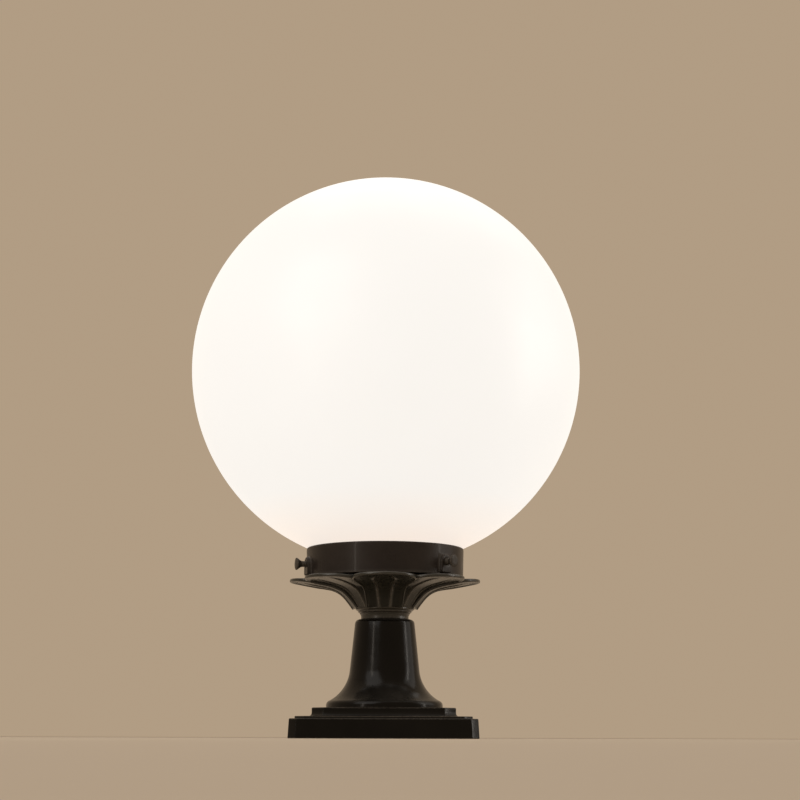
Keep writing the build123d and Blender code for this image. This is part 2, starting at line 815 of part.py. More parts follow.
with BuildPart() as lamp_diffuser:
    with BuildSketch(Plane.XZ):
        with BuildLine():
            inner_bulb = bulb_radius - bulb_wall
            inner_foot = sqrt(inner_bulb**2 - (diffuser_centre - housing_top) ** 2)
            ThreePointArc(
                (diffuser_foot, housing_top),
                (bulb_radius, diffuser_centre),
                (0, diffuser_centre + bulb_radius),
            )
            Line((0, diffuser_centre + bulb_radius), (0, diffuser_centre + inner_bulb))
            ThreePointArc(
                (0, diffuser_centre + inner_bulb),
                (inner_bulb, diffuser_centre),
                (inner_foot, housing_top),
            )
            Line((inner_foot, housing_top), (diffuser_foot, housing_top))
        make_face()
    revolve(axis=Axis.Z)
lamp_diffuser.part.label = "lamp_diffuser"
export_step(lamp_diffuser.part, "parts/lamp_diffuser.step")


# ---------------------------------------------------------------- terminal block, wires and earth

wire_level = plate_top + wire_bend - wire_radius / 2

with BuildPart() as terminal_block:
    with BuildSketch(Plane.XY.offset(plate_top)):
        with Locations((0, block_offset + block_depth / 2)):
            Rectangle(3 * pole_pitch, block_depth)
    extrude(amount=block_tall)
    with BuildSketch(Plane.XY.offset(plate_top + block_tall)):
        with Locations((0, block_offset + block_depth / 2)):
            with GridLocations(pole_pitch, 0, 2, 1):
                Rectangle(bulb_wall, block_depth)
    extrude(amount=-block_tall / 4, mode=Mode.SUBTRACT)
terminal_block.part.label = "terminal_block"
export_step(terminal_block.part, "parts/terminal_block.step")

with BuildPart() as terminal_screws:
    with BuildSketch(Plane.XY.offset(plate_top + block_tall)):
        with Locations((0, block_offset + block_depth / 2)):
            with GridLocations(pole_pitch, block_depth / 2, 3, 2):
                Circle(pole_pitch / 4)
    extrude(amount=terminal_screw_height)
terminal_screws.part.label = "terminal_screws"
export_step(terminal_screws.part, "parts/terminal_screws.step")


def wire(points, radii):
    """An insulated wire along straight runs joined by arcs."""
    with BuildPart() as strand:
        with BuildLine() as route:
            FilletPolyline(*points, radius=radii)
        start = route.line @ 0
        with BuildSketch(Plane(origin=start, z_dir=route.line % 0)):
            Circle(wire_radius)
        sweep(path=route.line)
    return strand


wire_top = holder_bottom + holder_recess_depth
live_wire = wire(
    [
        (wire_spread, 0, wire_top),
        (wire_spread, 0, wire_level),
        (wire_spread, block_offset * 0.45, wire_level),
        (pole_pitch, block_offset * 0.75, wire_level),
        (pole_pitch, block_offset, wire_level),
    ],
    [wire_bend, wire_bend * 0.6, wire_bend * 0.6],
)
live_wire.part.label = "live_wire"
export_step(live_wire.part, "parts/live_wire.step")

neutral_wire = wire(
    [
        (-wire_spread, 0, wire_top),
        (-wire_spread, 0, wire_level),
        (-wire_spread, block_offset * 0.5, wire_level),
        (0, block_offset * 0.75, wire_level),
        (0, block_offset, wire_level),
    ],
    [wire_bend, wire_bend * 0.6, wire_bend * 0.6],
)
neutral_wire.part.label = "neutral_wire"
export_step(neutral_wire.part, "parts/neutral_wire.step")

barrel_radius = wire_radius + tag_thickness / 2
barrel_level = plate_top + barrel_radius
barrel_end = -earth_reach + tag_radius + tag_radius
earth_wire = wire(
    [
        (-pole_pitch, block_offset, wire_level),
        (-pole_pitch, block_offset * 0.75, wire_level),
        (-pole_pitch * 1.8, block_offset / 2, barrel_level),
        (barrel_end, block_offset / 2, barrel_level),
    ],
    [wire_bend * 0.6, wire_bend * 0.6],
)
earth_wire.part.label = "earth_wire"
export_step(earth_wire.part, "parts/earth_wire.step")

with BuildPart() as earth_tag:
    with BuildSketch(Plane.XY.offset(plate_top)):
        with Locations(tag_centre):
            Circle(tag_radius)
    extrude(amount=tag_thickness)
    with BuildSketch(Plane.YZ.offset(barrel_end)):
        with Locations((block_offset / 2, barrel_level)):
            Circle(barrel_radius)
    extrude(amount=-1.1 * tag_radius)
    with BuildSketch(Plane.XY.offset(plate_top)):
        with Locations(tag_centre):
            Circle(earth_screw_radius + screw_clearance)
    extrude(amount=2 * tag_radius, mode=Mode.SUBTRACT)
earth_tag.part.label = "earth_tag"
export_step(earth_tag.part, "parts/earth_tag.step")

with BuildPart() as earth_screw:
    with BuildSketch(Plane.XY.offset(fit_clearance)):
        with Locations(tag_centre):
            Circle(earth_screw_radius)
    extrude(amount=plate_top + tag_thickness - fit_clearance)
    with BuildSketch(Plane.XY.offset(plate_top + tag_thickness)):
        with Locations(tag_centre):
            Circle(earth_screw_radius * 1.75)
    extrude(amount=earth_screw_radius)
earth_screw.part.label = "earth_screw"
export_step(earth_screw.part, "parts/earth_screw.step")
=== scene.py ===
# %% [markdown]
# # A garden globe light, built in Blender
# The light is an opal globe on a cast metal stand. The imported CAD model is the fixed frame: it says where
# every part sits and how it moves. This script dresses that frame with finer surfaces and real finishes.
# Lengths below are written in millimetres, as on a drawing, and become metres only when a mesh is made.

# %% Load the frame
import math

import bmesh
import bpy
import numpy as np
from mathutils import Matrix, Vector


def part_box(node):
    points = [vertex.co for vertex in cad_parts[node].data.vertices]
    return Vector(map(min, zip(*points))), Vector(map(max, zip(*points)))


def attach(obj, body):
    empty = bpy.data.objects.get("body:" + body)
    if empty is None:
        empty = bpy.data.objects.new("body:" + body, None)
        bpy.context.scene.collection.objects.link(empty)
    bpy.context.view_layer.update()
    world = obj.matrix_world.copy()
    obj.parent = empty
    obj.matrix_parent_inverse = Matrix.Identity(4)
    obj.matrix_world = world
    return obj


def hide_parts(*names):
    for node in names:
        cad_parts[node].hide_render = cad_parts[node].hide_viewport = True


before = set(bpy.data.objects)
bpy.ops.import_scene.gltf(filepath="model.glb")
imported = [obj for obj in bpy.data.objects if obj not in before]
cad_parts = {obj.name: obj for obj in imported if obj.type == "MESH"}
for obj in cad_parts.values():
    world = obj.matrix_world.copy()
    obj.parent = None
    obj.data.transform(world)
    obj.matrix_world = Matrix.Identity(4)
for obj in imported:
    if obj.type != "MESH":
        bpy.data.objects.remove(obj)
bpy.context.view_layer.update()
MM = 0.001  # one millimetre, in metres


def span(node):
    """Lowest and highest corner of a CAD node, in millimetres."""
    low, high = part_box(node)
    return np.array(low) / MM, np.array(high) / MM


def heights(node):
    """Lowest and highest height of a CAD node, in millimetres."""
    low, high = span(node)
    return low[2], high[2]


print("nodes:", len(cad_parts))

# %% [markdown]
# ## The camera
# The view is taken from the height of the object's own foot, a little to the right of its axis, looking
# up by almost eleven degrees. The camera is made first, because the view decides how fine each part has
# to be. Two small shifts slide the picture without turning it, and a very small roll lets the axis lean
# as it does in the photograph.

# %% Camera
PITCH = math.radians(10.7207)
ROLL = math.radians(0.18)
CAMERA_PLACE = (11.9 * MM, -1357.3 * MM, 0.8 * MM)
PICTURE_SIDE = 800  # pixels
camera_data = bpy.data.cameras.new("camera")
camera_data.lens = 80.1
camera_data.sensor_width = 36.0
camera_data.shift_x = -1.2 / PICTURE_SIDE
camera_data.shift_y = 0.6 / PICTURE_SIDE
camera_data.clip_start = 0.002
camera_data.clip_end = 50.0
camera = bpy.data.objects.new("camera", camera_data)
bpy.context.scene.collection.objects.link(camera)
camera.matrix_world = (
    Matrix.Translation(CAMERA_PLACE)
    @ Matrix.Rotation(math.pi / 2 + PITCH, 4, "X")
    @ Matrix.Rotation(ROLL, 4, "Z")
)
bpy.context.scene.camera = camera
bpy.context.scene.view_settings.view_transform = "Standard"
print("camera at", [round(value, 4) for value in CAMERA_PLACE], "with a lens of", camera_data.lens, "mm")

# %% [markdown]
# ## Tools for surfaces
# Most pieces of this light are turned or cast, so each could be modelled by hand, or cut from cylinders
# with modifiers. Here each is a grid of points worked out with numpy instead, because then every size
# stays a number that can be read. The first step is a profile. Its sharp corners are rounded, because
# no real edge is perfectly sharp, and a rounded edge is what catches the light.

# %% Profiles


def unit(vectors):
    """Each vector divided by its own length."""
    return vectors / np.maximum(np.linalg.norm(vectors, axis=-1, keepdims=True), 1e-12)


def rounded(corners, radii, steps=5, closed=True):
    """Rounds the corners of a line of points, in the plane or in space.

    Each corner gives way to an arc that leaves its two runs at the tangent length, which is the radius
    divided by the tangent of half the corner's angle. One more point lies just beyond each end of the
    arc, half a radius away, and keeps the flats flat under smooth shading.
    """
    corners = np.asarray(corners, float)
    radii = np.array(np.broadcast_to(np.asarray(radii, float), len(corners)))
    if not closed:
        radii[[0, -1]] = 0
    before = unit(np.roll(corners, 1, 0) - corners)
    after = unit(np.roll(corners, -1, 0) - corners)
    half = np.arccos(np.clip((before * after).sum(1), -1, 1)) / 2
    half = np.clip(half, 0.02, math.pi / 2 - 1e-4)[:, None]
    radius = radii[:, None]
    start = corners + before * radius / np.tan(half)
    stop = corners + after * radius / np.tan(half)
    centre = corners + unit(before + after) * radius / np.sin(half)
    sweep = (math.pi - 2 * half)[:, None]
    t = np.linspace(0, 1, steps)[None, :, None]
    arc = centre[:, None] + (
        np.sin((1 - t) * sweep) * (start - centre)[:, None] + np.sin(t * sweep) * (stop - centre)[:, None]
    ) / np.sin(sweep)
    lead = (start + before * radius / 2)[:, None]
    tail = (stop + after * radius / 2)[:, None]
    line = np.concatenate([lead, arc, tail], axis=1)
    return line.reshape(-1, corners.shape[1])


def arc_from(start, direction, end, steps=24):
    """The arc that leaves start in a direction and passes through end, both points of the plane.

    Its centre lies square to the direction, at the squared chord over twice the chord's share that way.
    """
    start, end = np.array(start, float), np.array(end, float)
    direction = unit(np.array(direction, float))
    across = np.array([-direction[1], direction[0]])
    chord = end - start
    radius = chord @ chord / (2 * chord @ across)
    centre = start + across * radius
    first = math.atan2(*(start - centre)[::-1])
    last = math.atan2(*(end - centre)[::-1])
    turn = (last - first + math.pi) % (2 * math.pi) - math.pi
    angle = first + turn * np.linspace(0, 1, steps)
    return centre + abs(radius) * np.stack([np.cos(angle), np.sin(angle)], 1)


print("points of a square with rounded corners:", len(rounded([(0, 0), (1, 0), (1, 1), (0, 1)], 0.1)))

# %% [markdown]
# The second step is a grid: rows run along the profile and columns run round it. A grid can be closed
# along either direction, and a window can be left out of it for a hole. Three ways make a grid here:
# carry a profile round the axis, join loops of points by a skin, or carry a circle along a path.

# %% Grids


def grid(points, round_rows=False, round_columns=True, windows=()):
    """A grid of points with rows and columns, and how it is closed."""
    return {"points": points, "rows": round_rows, "columns": round_columns, "windows": windows}


def turned(profile, columns=128, closed=True, ripple=None):
    """A profile of (radius, height) points carried round the Z axis, at even angles or at given ones.

    A point sits at its radius times the cosine and sine of its angle. A ripple is a function of radius,
    height and angle that gives the change of radius. Points on the axis stay there, so that poles close.
    """
    angle = np.arange(columns) * 2 * math.pi / columns if isinstance(columns, int) else columns
    radius, height = [np.repeat(part[:, None], len(angle), 1) for part in np.asarray(profile).T]
    around = np.broadcast_to(angle, radius.shape)
    if ripple is not None:
        radius = np.where(radius > 0, radius + ripple(radius, height, around), 0)
    points = np.stack([radius * np.cos(around), radius * np.sin(around), height], -1)
    return grid(points, round_rows=closed)


def lofted(loops):
    """A skin through closed loops of points, with its two ends drawn in to their middle points."""
    ends = loops[[0, -1]].mean(axis=1, keepdims=True)
    first, last = np.broadcast_to(ends, (2, *loops.shape[1:]))
    return grid(np.concatenate([first[None], loops, last[None]]))


def tube(path, radius, columns):
    """A round tube along a path: circles square to the path, each set up from one fixed side vector."""
    along = unit(np.gradient(path, axis=0))
    side = unit(np.cross(along, (0.35, 0.2, 1.0)))
    other = np.cross(along, side)
    angle = np.arange(columns)[None, :, None] * 2 * math.pi / columns
    loops = path[:, None] + radius * (np.cos(angle) * side[:, None] + np.sin(angle) * other[:, None])
    return lofted(loops)


def turn_by(azimuth):
    """The matrix that turns rows of points round the Z axis, made of the angle's cosine and sine."""
    cosine, sine = math.cos(azimuth), math.sin(azimuth)
    return np.array([[cosine, sine, 0], [-sine, cosine, 0], [0, 0, 1]])


print("points of a turned ring:", turned([(10, 0), (12, 0), (12, 2), (10, 2)])["points"].shape)

# %% [markdown]
# ## From grids to a Blender mesh
# The faces of all grids are numbered at once and handed to the mesh in one go. Points that meet are
# welded, which closes seams and poles, and the faces are turned outwards. Two attributes are then worked
# out for the finishes: `edge` is high where the surface bulges sharply, and `hollow` where it folds in.
# On a real casting that is where paint wears through and where dust settles. The pale worn edges are also
# a painted highlight along beads and crests, and on the metal fittings the hollows are made darker.

# %% Faces and curvature
FULL_BEND = 1600  # curvature per metre that counts as fully sharp: a radius of about 0.6 mm


def grid_faces(shape, round_rows, round_columns, windows):
    """Corner numbers of each four-sided face of a grid, without those inside its windows."""
    rows, columns = shape
    number = np.arange(rows * columns).reshape(rows, columns)
    keep = np.ones((rows, columns), bool)
    for top, bottom, left, right in windows:
        keep[top:bottom, left:right] = False
    if not round_rows:
        keep[-1] = False
    if not round_columns:
        keep[:, -1] = False
    below = np.roll(number, -1, 0)
    faces = np.stack([number, np.roll(number, -1, 1), np.roll(below, -1, 1), below], -1)
    return faces[keep]


def add_curvature(mesh):
    """Writes `edge` and `hollow` on each point.

    Along each mesh edge the curvature is the change of normal times the step, over the step squared.
    A point keeps its largest bulge and its deepest fold.
    """
    count = len(mesh.vertices)
    place, normal = np.empty(count * 3), np.empty(count * 3)
    ends = np.empty(len(mesh.edges) * 2, int)
    mesh.vertices.foreach_get("co", place)
    mesh.vertices.foreach_get("normal", normal)
    mesh.edges.foreach_get("vertices", ends)
    place, normal, ends = place.reshape(-1, 3), normal.reshape(-1, 3), ends.reshape(-1, 2)
    step = place[ends[:, 0]] - place[ends[:, 1]]
    change = normal[ends[:, 0]] - normal[ends[:, 1]]
    bend = (step * change).sum(1) / np.maximum((step * step).sum(1), 1e-14)
    bulge, fold = np.zeros(count), np.zeros(count)
    np.maximum.at(bulge, ends.ravel(), np.repeat(bend, 2))
    np.maximum.at(fold, ends.ravel(), np.repeat(-bend, 2))
    for name, value in (("edge", bulge / FULL_BEND), ("hollow", fold / FULL_BEND)):
        attribute = mesh.attributes.new(name, "FLOAT", "POINT")
        attribute.data.foreach_set("value", np.clip(value, 0, 1).astype(np.float32))


print("faces of a grid of 3 by 4 points, closed one way:", len(grid_faces((3, 4), False, True, ())))

# %% [markdown]
# One function takes any list of grids to a finished piece. It could be done with one object for each
# grid and a join, but welding the points in one mesh leaves a closed skin, which bakes and prints well.
# The piece's place is in its mesh and its object stays at the origin. It is then tied to the body that
# it moves with, given its finish, and told which CAD nodes it stands for.

# %% Make a piece
WELD = 2e-6  # metres within which two points become one
SLIVER = 1e-7  # metres below which an edge is closed up


def make_piece(name, grids, body, finish, nodes=(), place=None, sharp=38.0):
    """Welds grids into one closed mesh, hands it to its body and lets it stand for its CAD nodes."""
    first, points, faces = 0, [], []
    for part in grids:
        spots = part["points"] if place is None else place(part["points"])
        shape = spots.shape[:2]
        faces.append(first + grid_faces(shape, part["rows"], part["columns"], part["windows"]))
        points.append(spots.reshape(-1, 3))
        first += shape[0] * shape[1]
    points = np.concatenate(points) * MM
    faces = np.concatenate(faces)
    mesh = bpy.data.meshes.new(name)
    mesh.vertices.add(len(points))
    mesh.vertices.foreach_set("co", points.astype(np.float32).ravel())
    mesh.loops.add(faces.size)
    mesh.loops.foreach_set("vertex_index", faces.astype(np.int32).ravel())
    mesh.polygons.add(len(faces))
    mesh.polygons.foreach_set("loop_start", np.arange(0, faces.size, 4, dtype=np.int32))
    mesh.update(calc_edges=True)
    mesh.validate()
    shell = bmesh.new()
    shell.from_mesh(mesh)
    bmesh.ops.remove_doubles(shell, verts=shell.verts, dist=WELD)
    bmesh.ops.dissolve_degenerate(shell, edges=shell.edges, dist=SLIVER)
    bmesh.ops.recalc_face_normals(shell, faces=shell.faces)
    open_edges = sum(1 for edge in shell.edges if len(edge.link_faces) != 2)
    shell.to_mesh(mesh)
    shell.free()
    mesh.shade_smooth()
    mesh.set_sharp_from_angle(angle=math.radians(sharp))
    add_curvature(mesh)
    mesh.materials.append(finish)
    piece = bpy.data.objects.new(name, mesh)
    bpy.context.scene.collection.objects.link(piece)
    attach(piece, body)
    if nodes:
        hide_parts(*nodes)
    size = points.max(0) - points.min(0)
    print(f"{name}: {len(mesh.polygons)} faces, open edges {open_edges}, size {np.round(size / MM, 1)} mm")
    return piece


# %% [markdown]
# ## Finishes
# Each finish is a small tree of nodes that reads the object's own coordinates, so it needs no picture
# and stays the same from every side. A helper adds one node and sets its inputs, which keeps each recipe
# short. Numbers that are the same all over are set on the shader itself.

# %% Helpers for materials


def new_finish(name, color, roughness, **sockets):
    """A principled material with its plain values set on the shader's own sockets."""
    material = bpy.data.materials.new(name)
    material.use_nodes = True
    shader = material.node_tree.nodes["Principled BSDF"]
    shader.inputs["Base Color"].default_value = (*color, 1)
    shader.inputs["Roughness"].default_value = roughness
    for socket, value in sockets.items():
        shader.inputs[socket.replace("_", " ")].default_value = value
    return material, shader


def add_node(material, kind, links=None, **settings):
    """One node, with settings for its properties or inputs and links into its sockets."""
    made = material.node_tree.nodes.new("ShaderNode" + kind)
    for key, value in settings.items():
        if hasattr(made, key):
            setattr(made, key, value)
        else:
            made.inputs[key.replace("_", " ")].default_value = value
    for socket, source in (links or {}).items():
        material.node_tree.links.new(source, made.inputs[socket])
    return made


print("finishes before the recipes:", len(bpy.data.materials))

# %% [markdown]
# The patterns come next: clouds on the object's coordinates, a value mapped to another range, a sum, a
# colour between two colours, and the attributes that each mesh carries. Each is one or two nodes.

# %% Patterns


def object_place(material):
    """Where a point lies on the object, which stays the same when its body moves."""
    return add_node(material, "TexCoord").outputs["Object"]


def noise(material, scale, detail=3.0, roughness=0.55):
    """A cloud pattern on the object's coordinates. The scale is in waves per metre."""
    links = {"Vector": object_place(material)}
    made = add_node(material, "TexNoise", links, Scale=scale, Detail=detail, Roughness=roughness)
    return made.outputs["Fac"]


def ramp(material, value, low, high, out_low=0.0, out_high=1.0):
    """Maps a value from one range to another, with both ends held."""
    limits = dict(From_Min=low, From_Max=high, To_Min=out_low, To_Max=out_high)
    return add_node(material, "MapRange", {"Value": value}, clamp=True, **limits).outputs["Result"]


def calculate(material, operation, first, second):
    """The result of one sum on two values. Either may be a number."""
    made = add_node(material, "Math", operation=operation)
    for socket, value in zip(made.inputs, (first, second)):
        if isinstance(value, (int, float)):
            socket.default_value = value
        else:
            material.node_tree.links.new(value, socket)
    return made.outputs["Value"]


# A Mix node has one set of sockets for each kind of value. These are the ones for colours.
COLOR_A, COLOR_B, COLOR_OUT = 6, 7, 2


def blend(material, factor, first, second):
    """A colour between two colours. Either may be plain numbers."""
    made = add_node(material, "Mix", data_type="RGBA")
    material.node_tree.links.new(factor, made.inputs["Factor"])
    for socket, value in ((made.inputs[COLOR_A], first), (made.inputs[COLOR_B], second)):
        if isinstance(value, tuple):
            socket.default_value = (*value, 1)
        else:
            material.node_tree.links.new(value, socket)
    return made.outputs[COLOR_OUT]


def attribute(material, name):
    """A value that was worked out for each point of the mesh."""
    return add_node(material, "Attribute", attribute_name=name).outputs["Fac"]


def upward(material):
    """1 on faces that look up, 0 on faces that look sideways or down."""
    geometry = add_node(material, "NewGeometry").outputs["Normal"]
    height = add_node(material, "SeparateXYZ", {"Vector": geometry}).outputs["Z"]
    return ramp(material, height, 0.35, 0.95)


def wire_up(material, shader, **links):
    """Links values into the shader's sockets."""
    for socket, source in links.items():
        material.node_tree.links.new(source, shader.inputs[socket.replace("_", " ")])


def add_bump(material, shader, height, distance, strength=1.0):
    """Relief from a height pattern. The distance is the relief's depth in millimetres."""
    made = add_node(material, "Bump", {"Height": height}, Distance=distance * MM, Strength=strength)
    wire_up(material, shader, Normal=made.outputs["Normal"])


# %% [markdown]
# ### Black enamel on cast metal
# The stand is painted black, and the paint pools a little, so the gloss is uneven and the light breaks
# into soft streaks. The recipe is a dark colour with slow clouds, a fine orange-peel relief over the
# slower waves of the casting under it, bare metal showing thinly on the sharpest edges, and dust where
# faces look up or fold in. The pale bare edges also serve as a painted highlight along the beads, veins
# and thread crests. All this could be painted into a picture by hand, but a tree of patterns stays
# crisp from near and far, and one recipe serves the whole stand.

# %% Enamel
# Pale bare metal for worn edges, which also stands in as a painted highlight on sharp crests.
BARE_EDGE_AND_HIGHLIGHT = (0.15, 0.125, 0.1)
DUST = (0.3, 0.27, 0.23)


def enamel(name, dark, light, gloss, peel, shine=0.15):
    """Painted casting. Gloss is its roughness where shiniest and dullest, shine its mirror strength."""
    material, shader = new_finish(name, dark, gloss[0], Coat_Weight=0.05, Coat_Roughness=0.06)
    shader.inputs["Specular IOR Level"].default_value = shine
    clouds = noise(material, 38.0)
    specks = noise(material, 1500.0, 2.0)
    fine = noise(material, 900.0, 2.0)
    waves = noise(material, 120.0, 2.0)
    color = blend(material, ramp(material, clouds, 0.35, 0.7), dark, light)
    # Pale bare metal on the sharpest edges: real wear, and also a painted highlight along beads, veins and
    # thread crests.
    speckled_edge = calculate(material, "MULTIPLY", attribute(material, "edge"), specks)
    curvature_tone = ramp(material, speckled_edge, 0.3, 0.62, 0, 0.55)
    color = blend(material, curvature_tone, color, BARE_EDGE_AND_HIGHLIGHT)
    settled = calculate(material, "MULTIPLY", upward(material), ramp(material, clouds, 0.3, 0.7, 0.1, 0.5))
    caught = calculate(material, "MULTIPLY", attribute(material, "hollow"), 0.35)
    dust = calculate(material, "MULTIPLY", calculate(material, "MAXIMUM", settled, caught), 0.22)
    color = blend(material, dust, color, DUST)
    rough = ramp(material, clouds, 0.3, 0.7, gloss[0], gloss[1])
    rough = calculate(material, "ADD", rough, calculate(material, "MULTIPLY", dust, 0.9))
    wire_up(material, shader, Base_Color=color, Roughness=rough)
    relief = calculate(material, "ADD", calculate(material, "MULTIPLY", fine, 0.35), waves)
    add_bump(material, shader, relief, peel)
    return material


enamel_black = enamel("enamel_black", (0.0015, 0.00135, 0.0012), (0.0036, 0.003, 0.0024),
                      (0.14, 0.25), 0.12)
enamel_collar = enamel("enamel_collar", (0.019, 0.0188, 0.015), (0.029, 0.0275, 0.0225),
                       (0.18, 0.28), 0.1, 0.45)
enamel_ring = enamel("enamel_ring", (0.021, 0.0165, 0.0145), (0.028, 0.0225, 0.0195), (0.26, 0.38), 0.06)
screw_black = enamel("screw_black", (0.03, 0.025, 0.02), (0.05, 0.042, 0.034), (0.3, 0.45), 0.02)
print("enamels:", [finish.name for finish in (enamel_black, enamel_collar, enamel_ring, screw_black)])

# %% [markdown]
# ### Opal acrylic, lit from inside
# The photograph shows the light switched on. A blown opal globe spreads the lamp's light so well that
# no bulb shows: it glows evenly, and only near the neck, where the gallery ring shades it, does the glow
# turn warmer and weaker. The light of a lamp inside could be followed through the wall, which is slow and
# grainy. So the glow is an emission colour that depends on the height on the globe alone, with a very
# faint mottle, and the skin keeps a soft gloss.

# %% Opal
globe_low, globe_high = span("globe")
GLOBE_R = (globe_high[0] - globe_low[0]) / 2
GLOBE_CENTRE = globe_high[2] - GLOBE_R
NECK_BOTTOM = globe_low[2]
GLOW_AT_NECK, GLOW, GLOW_IN_PATCHES = (0.87, 0.75, 0.66), (0.81, 0.797, 0.772), (0.78, 0.767, 0.742)

opal, opal_shader = new_finish("opal_acrylic", (0.24, 0.235, 0.228), 0.4, Emission_Strength=1.0)
height_on_globe = add_node(opal, "SeparateXYZ", {"Vector": object_place(opal)}).outputs["Z"]
neck_fall = ramp(opal, height_on_globe, (NECK_BOTTOM + 14) * MM, (NECK_BOTTOM + 52) * MM)
mottle = noise(opal, 14.0, 4.0)
glow = blend(opal, neck_fall, GLOW_AT_NECK, GLOW)
glow = blend(opal, ramp(opal, mottle, 0.35, 0.75, 0.0, 0.35), glow, GLOW_IN_PATCHES)
wire_up(opal, opal_shader, Emission_Color=glow, Roughness=ramp(opal, mottle, 0.3, 0.7, 0.36, 0.46))
add_bump(opal, opal_shader, noise(opal, 60.0, 1.0), 0.03)
print("globe radius", round(GLOBE_R, 2), "mm, middle at", round(GLOBE_CENTRE, 2), "mm")

# %% [markdown]
# ### Plated steel, brass, ceramic, rubber and plastics
# The fittings inside are the usual ones of a lamp. Zinc plate has a pale spangle and fine scratches,
# brass has a warm tone that dulls in patches, glazed ceramic is white under a clear coat, and the soft
# parts are matt with a little grain. Each could have a tree of its own. Two recipes are enough here, one
# for metals and one for all that is moulded or glazed, because these fittings are small and half hidden.

# %% Recipes for fittings


def metal(name, color, tint, gloss, scale, relief):
    """Bare or plated metal with patches of a second tone, darker hollows and fine relief."""
    material, shader = new_finish(name, color, gloss[0], Metallic=1.0)
    cells = add_node(material, "TexVoronoi", {"Vector": object_place(material)}, Scale=scale).outputs["Color"]
    patch = add_node(material, "SeparateColor", {"Color": cells}).outputs[0]
    fine = noise(material, 2500.0, 2.0)
    # The hollows are made darker, towards the second tone.
    curvature_tone = calculate(material, "MULTIPLY", attribute(material, "hollow"), 0.5)
    tone = calculate(material, "ADD", calculate(material, "MULTIPLY", patch, 0.7), curvature_tone)
    scratches = calculate(material, "MULTIPLY", fine, 0.08)
    rough = calculate(material, "ADD", ramp(material, patch, 0, 1, *gloss), scratches)
    wire_up(material, shader, Base_Color=blend(material, tone, color, tint), Roughness=rough)
    add_bump(material, shader, fine, relief)
    return material


def plastic(name, color, tint, gloss, scale=220.0, relief=0.01, **sockets):
    """Moulded plastic, rubber or glaze: two close tones in clouds, with a fine grain."""
    material, shader = new_finish(name, color, gloss[0], **sockets)
    clouds = noise(material, scale / 4)
    grain = noise(material, scale * 8, 2.0)
    tone = blend(material, ramp(material, clouds, 0.3, 0.7), color, tint)
    wire_up(material, shader, Base_Color=tone, Roughness=ramp(material, clouds, 0.3, 0.7, *gloss))
    add_bump(material, shader, grain, relief)
    return material


# %% [markdown]
# With the two recipes in hand each finish is one line: its two tones, its roughness where glossy and
# where dull, and the size and depth of its grain where these matter.

# %% Finishes of the fittings
zinc = metal("zinc_plate", (0.62, 0.63, 0.64), (0.5, 0.51, 0.53), (0.3, 0.42), 380.0, 0.01)
brass = metal("brass", (0.78, 0.58, 0.27), (0.6, 0.43, 0.2), (0.26, 0.38), 240.0, 0.008)
aluminium = metal("rolled_aluminium", (0.8, 0.8, 0.81), (0.7, 0.7, 0.71), (0.22, 0.3), 160.0, 0.006)
ceramic = plastic("white_glaze", (0.86, 0.85, 0.82), (0.82, 0.805, 0.77), (0.16, 0.24), Coat_Weight=0.6)
nylon = plastic("natural_nylon", (0.8, 0.78, 0.72), (0.76, 0.735, 0.67), (0.42, 0.5))
rubber = plastic("black_rubber", (0.022, 0.022, 0.022), (0.034, 0.033, 0.031), (0.7, 0.85), relief=0.03)
white_shell = plastic("white_polycarbonate", (0.84, 0.84, 0.82), (0.8, 0.8, 0.775), (0.36, 0.44))
cap_glass = plastic("black_glass", (0.018, 0.018, 0.022), (0.03, 0.028, 0.03), (0.12, 0.2))
strip_plastic = plastic("terminal_plastic", (0.78, 0.76, 0.7), (0.72, 0.7, 0.63), (0.38, 0.46))
wire_brown = plastic("wire_brown", (0.16, 0.065, 0.03), (0.13, 0.05, 0.022), (0.4, 0.5))
wire_blue = plastic("wire_blue", (0.03, 0.12, 0.42), (0.024, 0.1, 0.36), (0.4, 0.5))
print("finishes so far:", len(bpy.data.materials))

# %% [markdown]
# Two finishes need more than the recipes give. The lamp's frosted dome glows, weakly, because the globe
# hides most of it. The earth wire is green with a yellow stripe, which follows the wire as an attribute
# of its points.

# %% Frosted dome and earth wire
frosted, frosted_shader = new_finish("frosted_diffuser", (0.5, 0.48, 0.45), 0.5, Emission_Strength=1.0)
frost_tone = ramp(frosted, noise(frosted, 60.0), 0.3, 0.7)
frost_glow = blend(frosted, frost_tone, (0.56, 0.5, 0.4), (0.6, 0.54, 0.44))
wire_up(frosted, frosted_shader, Emission_Color=frost_glow)
add_bump(frosted, frosted_shader, noise(frosted, 1800.0, 2.0), 0.02)
wire_green, green_shader = new_finish("wire_green_yellow", (0.03, 0.22, 0.05), 0.45)
stripe = ramp(wire_green, attribute(wire_green, "stripe"), 0.48, 0.52)
stripe_color = blend(wire_green, stripe, (0.035, 0.24, 0.055), (0.72, 0.6, 0.04))
stripe_rough = ramp(wire_green, noise(wire_green, 300.0), 0, 1, 0.4, 0.5)
wire_up(wire_green, green_shader, Base_Color=stripe_color, Roughness=stripe_rough)
print("finishes:", len(bpy.data.materials))

# %% [markdown]
# ## The globe
# A blown globe is a ball with a short neck. The wall has an even thickness, the lip is fire-polished
# round, and the throat inside turns in a soft curve. A ball with its end cut off and thickened would
# leave a kink at the neck. So it is a profile carried round the axis: out over the ball, down the neck,
# round the lip and back up inside, which leaves one closed shell.

# %% Globe
NECK_R = 54.5
GLOBE_WALL = 3.0


